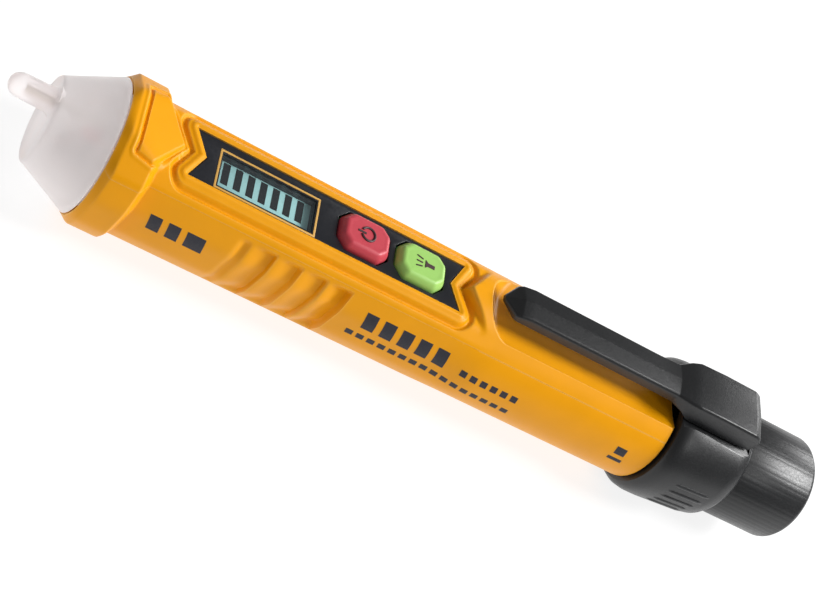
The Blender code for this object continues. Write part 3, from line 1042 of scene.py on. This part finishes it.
    def keep_side(self, name: str, skin: Piece, height: float, above: bool) -> Piece:
        """Copy the skin and keep what lies above or below a height.

        Args:
            name: The copy's name.
            skin: The skin of the whole casing.
            height: The height of the cut.
            above: Whether the upper part is kept.

        Returns:
            The copy, cut.
        """
        take(skin)
        bpy.ops.object.duplicate()
        piece = adopt(name)
        to_mode("EDIT")
        bpy.ops.mesh.select_all(action="SELECT")
        bpy.ops.mesh.bisect(plane_co=at(0.0, 0.0, height), plane_no=(0.0, 0.0, 1.0), clear_inner=above,
                            clear_outer=not above, threshold=0.0000001)
        to_mode("OBJECT")
        return piece

    def open_fascia_pocket(self, upper: Piece) -> None:
        """Cut the fascia's outline into the upper skin and remove what lies within it.

        Args:
            upper: The upper skin.
        """
        outline = self.panel_outline(self.sizes.pocket_margin)
        take(upper)
        to_mode("EDIT")
        for (ax, ay), (bx, by) in zip(outline, outline[1:] + outline[:1]):
            edge = Vector((bx - ax, by - ay, 0.0))
            normal = edge.cross(Vector((0.0, 0.0, 1.0))).normalized()
            low, high = min(ax, bx) - 0.5, max(ax, bx) + 0.5
            pick("FACE", lambda face: low < face.calc_center_median().x / MM < high
                 and abs(face.calc_center_median().y) / MM < self.sizes.panel_half + 0.7)
            bpy.ops.mesh.bisect(plane_co=at(ax, ay), plane_no=normal, threshold=0.0000001)
        pick("FACE", lambda face: self.within(face.calc_center_median(), outline))
        bpy.ops.mesh.delete(type="FACE")
        to_mode("OBJECT")

    @staticmethod
    def within(place: Vector, outline: Outline) -> bool:
        """Look for a place inside an outline.

        Args:
            place: A place in the frame, in metres.
            outline: An outline in millimetres.

        Returns:
            Whether the place is inside the outline and above the axis.
        """
        x, y = place.x / MM, place.y / MM
        inside = False
        for (ax, ay), (bx, by) in zip(outline, outline[1:] + outline[:1]):
            if (ay > y) != (by > y) and x < (bx - ax) * (y - ay) / (by - ay) + ax:
                inside = not inside
        return inside and place.z > AXIS_HEIGHT * MM

    def thicken(self, shell: Piece) -> Piece:
        """Give a skin its wall, inwards, and shade it.

        Args:
            shell: The open skin.

        Returns:
            The same object, solid.
        """
        take(shell)
        modify(shell, "SOLIDIFY", thickness=self.sizes.wall * MM, offset=-1.0, use_even_offset=False)
        return settle(shell, 50.0)

    def build(self) -> None:
        """Build both shells and the printed marks."""
        s = self.sizes
        skin = self.skin()
        upper = self.keep_side("upper_shell", skin, s.split + s.seam / 2, True)
        self.open_fascia_pocket(upper)
        lower = self.keep_side("lower_shell", skin, s.split - s.seam / 2, False)
        bpy.data.objects.remove(skin, do_unlink=True)
        self.hand_over(self.thicken(upper), Body.CASING, Slot.YELLOW, "upper_housing")
        self.thicken(lower)
        self.print_marks(lower)
        self.hand_over(lower, Body.CASING, Slot.YELLOW, "lower_housing")

    def print_marks(self, lower: Piece) -> None:
        """Lay plain ink bars on the near flank, following its curve.

        Args:
            lower: The shell that they are printed on.
        """
        bars = []
        for row in self.MARKS:
            for i in range(row.count):
                bars.append(self.mark(row, row.x + i * row.pitch))
        marks = join(bars, "ink_bars")
        modify(marks, "SHRINKWRAP", target=lower, wrap_method="PROJECT", use_project_y=True,
               use_positive_direction=True, use_negative_direction=False, offset=0.015 * MM)
        modify(marks, "SOLIDIFY", thickness=0.03 * MM, offset=0.0)
        self.hand_over(settle(marks), Body.CASING, Slot.BLACK, material=self.palette.ink)

    def mark(self, row: MarkRow, x: float) -> Piece:
        """Add one slanted bar of a row.

        Args:
            row: The row that the bar belongs to.
            x: Where the bar starts.

        Returns:
            The bar, standing clear of the near flank.
        """
        deselect_all()
        bpy.ops.mesh.primitive_grid_add(x_subdivisions=6, y_subdivisions=6, size=MM,
                                        location=at(x + row.wide / 2, -13.5, row.z),
                                        rotation=(QUARTER, 0.0, 0.0))
        bpy.context.object.scale = (row.wide, row.tall, 1.0)
        bar_piece = adopt("ink_bar")
        for vert in bar_piece.data.vertices:
            vert.co.x -= (vert.co.z - at(0.0, 0.0, row.z).z) * self.MARK_SLANT
        return bar_piece


# ---------------------------------------------------------------- fascia and display


@dataclass
class FasciaSizes:
    """Sizes of the black fascia and of the display in it."""

    top: float = 9.12
    thick: float = 0.75
    window: tuple[float, float, float, float] = (-46.5, -29.6, -3.75, 2.45)
    line: float = 0.38
    line_gap: float = 0.30
    line_rise: float = 0.06
    pane_top: float = 0.12
    pane_bottom: float = 0.45
    sheet: float = 7.55
    sheet_thick: float = 0.6
    slack: float = 0.05
    well_rim: float = 0.7
    well_depth: float = 0.5
    bars: int = 7
    bar_ends: float = 1.2
    first_bar: float = 0.9
    bar_foot: float = 1.9
    bar_head: float = 0.25
    bar_share: float = 0.56
    bar_rise: float = 0.04
    key_opening: tuple[float, float] = (9.9, 7.5)
    key_corner: float = 1.8
    keys: tuple[float, float] = (POWER_X, TORCH_X)


class Fascia(SubAssembly):
    """The notched black plate, the gold line round its window and the display under it."""

    def __init__(self, palette: Palette, sizes: FasciaSizes, outline: Outline) -> None:
        """Keep the palette, the sizes and the plate's outline."""
        super().__init__(palette, sizes)
        self.outline = outline

    def build(self) -> None:
        """Build the plate, the window line, the clear window and the display."""
        self.build_plate()
        self.build_window_line()
        self.build_window()
        self.build_display()

    def window_block(self, name: str, grown: float, low: float, high: float) -> Piece:
        """Add a block that follows the window's outline.

        Args:
            name: The new object's name.
            grown: How far it reaches past the window on each side.
            low: Height of its underside.
            high: Height of its top.

        Returns:
            The block.
        """
        left, right, near, far = self.sizes.window
        return bar(name, (left - grown, near - grown, low), (right + grown, far + grown, high))

    def build_plate(self) -> None:
        """Cut the window and the two key openings through the bevelled plate."""
        s = self.sizes
        panel = plate("fascia_plate", self.outline, s.top - s.thick, s.top)
        combine(panel, self.window_block("window_cut", 0.0, 0.0, CUT_TOP), "DIFFERENCE")
        for x in s.keys:
            hole = plate("key_cut", octagon((x, 0.0), s.key_opening, s.key_corner), 0.0, CUT_TOP)
            combine(panel, hole, "DIFFERENCE")
        soften(panel, 0.12, 2)
        self.hand_over(settle(panel), Body.CASING, Slot.FASCIA, "fascia_panel")

    def build_window_line(self) -> None:
        """Lay a thin gold border round the window."""
        s = self.sizes
        rim = self.window_block("window_line", s.line_gap + s.line, s.top - 0.05, s.top + s.line_rise)
        combine(rim, self.window_block("rim_cut", s.line_gap, 0.0, CUT_TOP), "DIFFERENCE")
        soften(rim, 0.05, 2)
        self.hand_over(settle(rim), Body.CASING, Slot.FASCIA, material=self.palette.gold_line)

    def build_window(self) -> None:
        """Set a thin clear sheet just under the fascia's surface."""
        s = self.sizes
        pane = self.window_block("window_pane", -s.slack, s.top - s.pane_bottom, s.top - s.pane_top)
        soften(pane, 0.08, 2)
        self.hand_over(settle(pane), Body.CASING, Slot.WINDOW, "display_window")

    def build_display(self) -> None:
        """Build the grey green sheet, its black surround and the row of level segments."""
        s = self.sizes
        well = self.window_block("display_well", s.well_rim, s.sheet - s.well_depth, s.top - s.thick)
        combine(well, self.window_block("well_cut", 0.0, 0.0, CUT_TOP), "DIFFERENCE")
        soften(well, 0.08, 1)
        self.hand_over(settle(well), Body.CASING, Slot.FASCIA)
        sheet = self.window_block("display_sheet", -s.slack, s.sheet - s.sheet_thick, s.sheet)
        soften(sheet, 0.06, 2)
        self.hand_over(settle(sheet), Body.CASING, Slot.DISPLAY, "lcd_glass")
        left, right, near, far = s.window
        pitch = (right - left - s.bar_ends) / s.bars
        segments = []
        for i in range(s.bars):
            x = left + s.first_bar + i * pitch
            mark = bar(f"segment_{i}", (x, near + s.bar_foot, s.sheet),
                       (x + pitch * s.bar_share, far - s.bar_head, s.sheet + s.bar_rise))
            soften(mark, 0.015, 1)
            segments.append(mark)
        row = join(segments, "display_segments")
        self.hand_over(settle(row), Body.CASING, Slot.DISPLAY, material=self.palette.segment)


# ---------------------------------------------------------------- push buttons


@dataclass
class KeySizes:
    """Sizes of one push button."""

    name: str
    x: float
    body: Body
    slot: Slot
    base: tuple[float, float] = (9.4, 7.0)
    top: tuple[float, float] = (7.9, 5.5)
    corner: float = 1.7
    foot: float = 6.9
    waist: float = 9.3
    crown: float = 10.6


class Key(SubAssembly):
    """A cut corner push button with sloping sides and a small printed icon."""

    def build(self) -> None:
        """Build the button's cap and its icon."""
        s = self.sizes
        rise = (s.crown - s.waist) * MM
        cap = plate(f"{s.name}_cap", octagon((s.x, 0.0), s.base, s.corner), s.foot, s.waist)
        take(cap)
        to_mode("EDIT")
        pick("FACE", lambda face: face.normal.z > 0.9)
        bpy.ops.mesh.extrude_region_move(TRANSFORM_OT_translate={"value": (0.0, 0.0, rise)})
        bpy.ops.transform.resize(value=(s.top[0] / s.base[0], s.top[1] / s.base[1], 1.0),
                                 center_override=at(s.x, 0.0, s.crown))
        bpy.ops.mesh.inset(thickness=0.9 * MM, depth=-0.06 * MM)
        to_mode("OBJECT")
        soften(cap, 0.46, 5, 12.0)
        self.hand_over(settle(cap, 40.0), s.body, s.slot, f"{s.name}_button")
        icon = self.power_icon() if s.name == "power" else self.torch_icon()
        self.hand_over(settle(icon), s.body, s.slot, material=self.palette.icon_ink)

    def power_icon(self) -> Piece:
        """Make an open ring with an upright bar through its gap.

        Returns:
            The icon.
        """
        s = self.sizes
        deselect_all()
        bpy.ops.mesh.primitive_torus_add(major_radius=1.22 * MM, minor_radius=0.20 * MM, major_segments=40,
                                         minor_segments=8, location=at(s.x, 0.0, s.crown))
        ring = adopt("power_icon")
        combine(ring, bar("gap", (s.x - 2.0, -0.45, 0.0), (s.x - 0.3, 0.45, CUT_TOP)), "DIFFERENCE")
        stem = bar("stem", (s.x - 1.95, -0.19, s.crown - 0.2), (s.x - 0.4, 0.19, s.crown + 0.05))
        soften(stem, 0.04, 1)
        return join([ring, stem], "power_icon")

    def torch_icon(self) -> Piece:
        """Make a small lamp body with three rays.

        Returns:
            The icon.
        """
        s = self.sizes
        low, high = s.crown - 0.1, s.crown + 0.05
        lamp = [(0.1, -0.75), (0.6, -0.35), (1.9, -0.35), (1.9, 0.35), (0.6, 0.35), (0.1, 0.75)]
        body = plate("torch_icon", [(s.x + x, y) for x, y in lamp], low, high)
        parts = [body]
        for i, tilt in enumerate((-0.7, 0.0, 0.7)):
            ray = bar(f"ray_{i}", (s.x - 1.6, tilt - 0.12, low), (s.x - 0.4, tilt + 0.12, high))
            for vert in ray.data.vertices:
                vert.co.y += (s.x - 0.4 - vert.co.x / MM) * tilt * 0.35 * MM
            parts.append(ray)
        for part in parts:
            soften(part, 0.03, 1)
        return join(parts, "torch_icon")


# ---------------------------------------------------------------- nose


@dataclass
class NoseSizes:
    """Sizes of the frosted nose and its nib."""

    face: float = -72.7
    ring: float = -63.7
    face_radius: float = 7.3
    ring_radius: float = 11.4
    nib_tip: float = -80.0
    nib_radius: float = 1.9
    nib_height: float = 4.7


class Nose(SubAssembly):
    """The hollow frosted nose with its off centre sensing nib."""

    def build(self) -> None:
        """Build the cone, join the nib to it and bore it for the sensing rod."""
        s = self.sizes
        face, ring, nib_tip = s.face, s.ring, s.nib_tip
        small, large, slim = s.face_radius, s.ring_radius, s.nib_radius
        cone = turn("nose_shell", [
            (face, small - 0.5), (face + 0.08, small - 0.25), (face + 0.35, small),
            (face + 0.7, small + 0.1), (ring - 0.35, large - 0.16), (ring, large),
            (ring + 0.15, large - 0.1), (ring + 0.2, large - 2.0), (ring + 2.6, large - 2.0),
            (ring + 2.6, large - 3.0), (ring, large - 3.0), (face + 2.6, small - 1.5)], 128)
        nib = turn("nib", [
            (nib_tip, 0.25), (nib_tip + 0.08, 0.7), (nib_tip + 0.4, 1.25), (nib_tip + 0.9, 1.65),
            (nib_tip + 1.6, slim), (face - 0.8, slim + 0.12), (face - 0.25, slim + 0.3),
            (face + 0.05, slim + 0.75), (face + 1.2, slim + 0.75)], 48, s.nib_height)
        combine(cone, nib, "UNION")
        bore = turn("rod_bore", [(nib_tip + 2.2, 0.3), (nib_tip + 2.5, 0.95), (face + 4.0, 0.95)], 32,
                    s.nib_height)
        combine(cone, bore, "DIFFERENCE")
        self.hand_over(settle(cone, 32.0), Body.CASING, Slot.FROSTED, "nose_cone")


# ---------------------------------------------------------------- rear end


@dataclass
class RearSizes:
    """Sizes of the collar and the screw cap."""

    collar_front: float = 46.4
    collar_end: float = 63.2
    collar_radius: float = 12.8
    spigot_bore: float = 10.0
    neck_radius: float = 8.6
    neck_bore: float = 7.2
    neck_end: float = 71.0
    shoulder: float = 60.9
    saddle_half: float = 6.0
    saddle_floor: float = 10.6
    saddle_top: float = 30.0
    saddle_end: float = 61.9
    ribs: int = 5
    first_rib: float = 14.0
    rib_step: float = 9.0
    rib_origin: float = 52.5
    rib_radius: float = 12.35
    rib_lean: float = -0.06875
    cap_start: float = 63.6
    cap_end: float = 80.0
    cap_radius: float = 10.05
    cap_bore: float = 8.95
    cap_wall: float = 76.6
    flutes: int = 60
    flute_depth: float = 0.022


class Rear(SubAssembly):
    """The black collar with its finger ribs, and the fluted screw cap."""

    RIB = [(51.6, 0.1), (52.0, 0.4), (52.8, 0.58), (58.8, 0.58), (59.6, 0.4), (60.2, 0.1)]

    def build(self) -> None:
        """Build the collar, then the cap."""
        self.build_collar()
        self.build_cap()

    def build_collar(self) -> None:
        """Turn the collar and its neck, cut its foot and saddle, and set the ribs on it."""
        s = self.sizes
        a, b, r = s.collar_front, s.collar_end, s.collar_radius
        collar = turn("collar_shell", [
            (s.neck_end, s.neck_bore), (s.neck_end, s.neck_radius), (b + 3.2, s.neck_radius),
            (b + 3.2, s.neck_radius - 0.7), (b + 1.8, s.neck_radius - 0.7), (b + 1.8, s.neck_radius),
            (b, s.neck_radius), (b, 10.8), (b - 0.2, 11.2), (b - 1.1, r - 1.0), (b - 3.0, r - 0.62),
            (a + 8.5, r - 0.26), (a + 5.0, r - 0.02), (a + 2.6, r), (a + 1.2, r - 0.2), (a + 0.35, r - 0.65),
            (a, r - 1.1), (a, s.spigot_bore), (s.shoulder, s.spigot_bore),
            (s.shoulder, s.neck_bore - 0.001)], 144)
        self.hollow(collar)
        combine(collar, bar("foot_cut", (a - 5, -20, -30), (b + 5, 20, -AXIS_HEIGHT)), "DIFFERENCE")
        saddle = bar("saddle_cut", (a - 1.0, -s.saddle_half, s.saddle_floor),
                     (s.saddle_end, s.saddle_half, s.saddle_top))
        combine(collar, saddle, "DIFFERENCE")
        combine(collar, self.rib_bank(), "UNION")
        self.hand_over(settle(collar, 35.0), Body.CASING, Slot.BLACK, "rear_collar")

    def hollow(self, collar: Piece) -> None:
        """Join the two end faces of the turned collar so that it is bored right through.

        Args:
            collar: The turned collar, closed at both ends.
        """
        take(collar)
        to_mode("EDIT")
        ends = [self.sizes.neck_end * MM, self.sizes.shoulder * MM]
        pick("FACE", lambda face: abs(face.normal.x) > 0.99 and len(face.verts) > 8
             and any(abs(face.calc_center_median().x - end) < 1e-5 for end in ends))
        bpy.ops.mesh.bridge_edge_loops()
        to_mode("OBJECT")

    def rib_bank(self) -> Piece:
        """Set a row of low ribs on each flank, each rib along the collar.

        Returns:
            The ribs of both flanks, joined.
        """
        s = self.sizes
        ribs = []
        for side in (-1, 1):
            for i in range(s.ribs):
                angle = math.radians(s.first_rib - s.rib_step * i)
                rib = turn("rib", self.RIB, 12)
                for vert in rib.data.vertices:
                    lean = (vert.co.x - s.rib_origin * MM) * s.rib_lean
                    radial = vert.co.z + lean + (s.rib_radius - AXIS_HEIGHT) * MM
                    along = vert.co.y
                    vert.co.y = side * (radial * math.cos(angle) - along * math.sin(angle))
                    vert.co.z = AXIS_HEIGHT * MM + radial * math.sin(angle) + along * math.cos(angle)
                ribs.append(settle(rib))
        return join(ribs, "ribs")

    def build_cap(self) -> None:
        """Turn the cup shaped cap and press shallow flutes into its wall."""
        s = self.sizes
        r, e = s.cap_radius, s.cap_end
        start = s.cap_start
        cap = turn("cap_shell", [
            (e, r - 3.0), (e - 0.35, r - 2.8), (e - 0.35, r - 2.2), (e, r - 2.0), (e, r - 1.25),
            (e - 0.1, r - 0.85), (e - 0.35, r - 0.42), (e - 0.75, r - 0.12), (e - 1.2, r),
            (start + 0.4, r), (start + 0.1, r - 0.12), (start, r - 0.3), (start, s.cap_bore),
            (s.cap_wall, s.cap_bore)], 360)
        places = np.empty(len(cap.data.vertices) * 3, dtype=np.float32)
        cap.data.vertices.foreach_get("co", places)
        places = places.reshape(-1, 3)
        y, z = places[:, 1], places[:, 2] - AXIS_HEIGHT * MM
        radius, angle = np.hypot(y, z), np.arctan2(z, y)
        wave = np.abs(np.sin(angle * s.flutes / 2)) ** 0.5
        sunk = s.flute_depth * MM * (1.0 - wave) * (radius > (r - 0.2) * MM)
        factor = (radius - sunk) / np.maximum(radius, 1e-9)
        places[:, 1], places[:, 2] = y * factor, z * factor + AXIS_HEIGHT * MM
        cap.data.vertices.foreach_set("co", places.ravel())
        self.hand_over(settle(cap, 40.0), Body.SCREW_CAP, Slot.BLACK, "tail_cap")


# ---------------------------------------------------------------- pocket clip


@dataclass
class ClipSizes:
    """Sizes of the pocket clip."""

    tip: float = 5.6
    root: float = 46.0
    end: float = 61.5
    base: float = 11.8
    bridge: float = 12.0
    skirt: float = 11.0
    foot_low: tuple[float, float, float] = (47.6, -2.9, 10.85)
    foot_high: tuple[float, float, float] = (58.4, 2.9, 13.4)


class PocketClip(SubAssembly):
    """The one piece clip: a ridged arm, its wide root block and the foot that sits in the collar."""

    BEAD = [(11.0, 0.1), (12.2, 1.0), (14.8, 1.0), (16.0, 0.1)]

    @staticmethod
    def section(half: float, skirt: float, base: float, edge: float, ridge: float) -> Outline:
        """Return one section of the clip.

        Args:
            half: Half its width.
            skirt: Height of the lower edge at the sides.
            base: Height of the underside in the middle.
            edge: Height where the upright sides turn into the top.
            ridge: Height of the ridge along the middle.

        Returns:
            The section's outline, anticlockwise from the lower left.
        """
        crown = min(0.30, half / 3)
        return [(-half, skirt), (0.0, base), (half, skirt), (half, edge - 0.4), (half - crown, edge),
                (0.0, ridge), (crown - half, edge), (-half, edge - 0.4)]

    def build(self) -> None:
        """Loft the arm and block, add the bead and the foot, and round the edges."""
        s = self.sizes
        cut = self.section
        clip = loft("clip_arm", [
            (s.tip, cut(0.5, s.base, s.base, 12.55, 12.7)),
            (s.tip + 2.2, cut(3.05, s.base, s.base, 13.2, 13.6)),
            (s.tip + 3.0, cut(3.23, s.base, s.base, 13.6, 14.2)),
            (s.tip + 5.0, cut(3.23, s.base, s.base, 14.0, 14.45)),
            (s.root - 8.0, cut(3.25, s.base, s.base, 14.1, 14.55)),
            (s.root - 3.6, cut(3.35, s.base, s.base, 14.3, 14.75)),
            (s.root - 1.3, cut(4.35, s.base, s.base + 0.5, 15.1, 15.5)),
            (s.root + 0.4, cut(4.75, s.skirt, s.bridge, 15.5, 15.85)),
            (s.root + 6.0, cut(4.85, s.skirt, s.bridge, 15.65, 15.95)),
            (s.end - 2.4, cut(4.85, s.skirt, s.bridge, 15.6, 15.9)),
            (s.end - 1.1, cut(4.8, s.skirt, s.bridge, 15.1, 15.4)),
            (s.end - 0.3, cut(4.7, s.skirt, s.bridge, 14.3, 14.5)),
            (s.end, cut(4.6, s.skirt + 0.2, s.bridge, 13.7, 13.8))])
        soften(clip, 0.18, 3, 14.0)
        foot = bar("foot", s.foot_low, s.foot_high)
        soften(foot, 0.2, 2)
        combine(clip, foot, "UNION")
        bead = turn("bead", self.BEAD, 32, s.base)
        combine(clip, bead, "UNION")
        self.hand_over(settle(clip, 34.0), Body.CLIP, Slot.BLACK, "pocket_clip")


# ---------------------------------------------------------------- studio


@dataclass
class Studio:
    """The camera, the pale floor and the soft lights round the tester."""

    azimuth: float = -36.38
    elevation: float = 44.59
    roll: float = 53.91
    lens: float = 75.19
    sensor: float = 36.0
    distance: float = 0.28562
    target: tuple[float, float, float] = (-0.00387, 0.0, 0.01085)
    floor_size: float = 3.0

    def build(self) -> None:
        """Set up the view, the lights and the floor."""
        self.place_camera()
        self.lay_floor()
        self.hang_lights()
        bpy.context.scene.view_settings.view_transform = "Standard"

    def place_camera(self) -> None:
        """Point the camera at the tester from above its nose, turned about its own axis."""
        turn_to, lift, roll = (math.radians(v) for v in (self.azimuth, self.elevation, self.roll))
        level = Vector((math.sin(turn_to), -math.cos(turn_to), 0.0))
        back = level * math.cos(lift) + Vector((0.0, 0.0, math.sin(lift)))
        right = Vector((0.0, 0.0, 1.0)).cross(back).normalized()
        up = back.cross(right)
        tilted_right = right * math.cos(roll) + up * math.sin(roll)
        tilted_up = up * math.cos(roll) - right * math.sin(roll)
        data = bpy.data.cameras.new("camera")
        data.lens = self.lens
        data.sensor_width = self.sensor
        data.clip_start = 0.01
        camera = bpy.data.objects.new("camera", data)
        turned = Matrix((tilted_right, tilted_up, back)).transposed().to_4x4()
        camera.matrix_world = Matrix.Translation(Vector(self.target) + back * self.distance) @ turned
        bpy.context.collection.objects.link(camera)
        bpy.context.scene.camera = camera

    def lay_floor(self) -> None:
        """Lay a wide, pale, slightly glowing sheet under the tester."""
        deselect_all()
        bpy.ops.mesh.primitive_plane_add(size=self.floor_size, location=(0.0, 0.0, -0.0002))
        floor = adopt("floor")
        paper = Surface("floor_paper")
        cloud = paper.noise(4.0, 2.0)
        floor.data.materials.append(paper.finish(
            Base_Color=paper.blend(cloud, (0.24, 0.24, 0.24), (0.26, 0.26, 0.26)),
            Roughness=0.9,
            Specular_IOR_Level=0.1,
            Emission_Color=(1.0, 1.0, 1.0),
            Emission_Strength=0.84,
        ))

    def hang_lights(self) -> None:
        """Hang the softboxes and set the even light from all round."""
        self.softbox("key_light", (0.62, 0.0, 0.62), 0.34, 8.0)
        self.softbox("sheen_light", (0.75, 0.50, 0.30), 0.25, 1.7)
        self.softbox("gloss_light", (0.38, -0.53, 0.63), 0.22, 0.7)
        world = bpy.data.worlds.new("studio_air")
        world.use_nodes = True
        background = world.node_tree.nodes["Background"]
        background.inputs["Color"].default_value = (1.0, 1.0, 1.0, 1.0)
        background.inputs["Strength"].default_value = 0.25
        bpy.context.scene.world = world

    @staticmethod
    def softbox(name: str, place: tuple[float, float, float], size: float, power: float) -> None:
        """Hang one square lamp and point it at the tester.

        Args:
            name: The lamp's name.
            place: Where it hangs, in metres.
            size: Its side in metres.
            power: Its power in watts.
        """
        data = bpy.data.lights.new(name, "AREA")
        data.size = size
        data.energy = power
        lamp = bpy.data.objects.new(name, data)
        lamp.location = place
        lamp.rotation_euler = Vector(place).to_track_quat("Z", "Y").to_euler()
        bpy.context.collection.objects.link(lamp)


def main() -> None:
    """Load the frame and build every sub-assembly round it."""
    logging.basicConfig(level=logging.INFO, format="%(name)s: %(message)s")
    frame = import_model()
    Studio().build()
    palette = Palette()
    palette.dress_frame(frame)
    casing = Casing(palette, CasingSizes())
    assemblies = [
        casing,
        Fascia(palette, FasciaSizes(), casing.panel_outline()),
        Key(palette, KeySizes("power", POWER_X, Body.POWER_KEY, Slot.RED)),
        Key(palette, KeySizes("torch", TORCH_X, Body.TORCH_KEY, Slot.GREEN)),
        Nose(palette, NoseSizes()),
        Rear(palette, RearSizes()),
        PocketClip(palette, ClipSizes()),
    ]
    for assembly in assemblies:
        assembly.build()
    deselect_all()


if __name__ == "__main__":
    main()
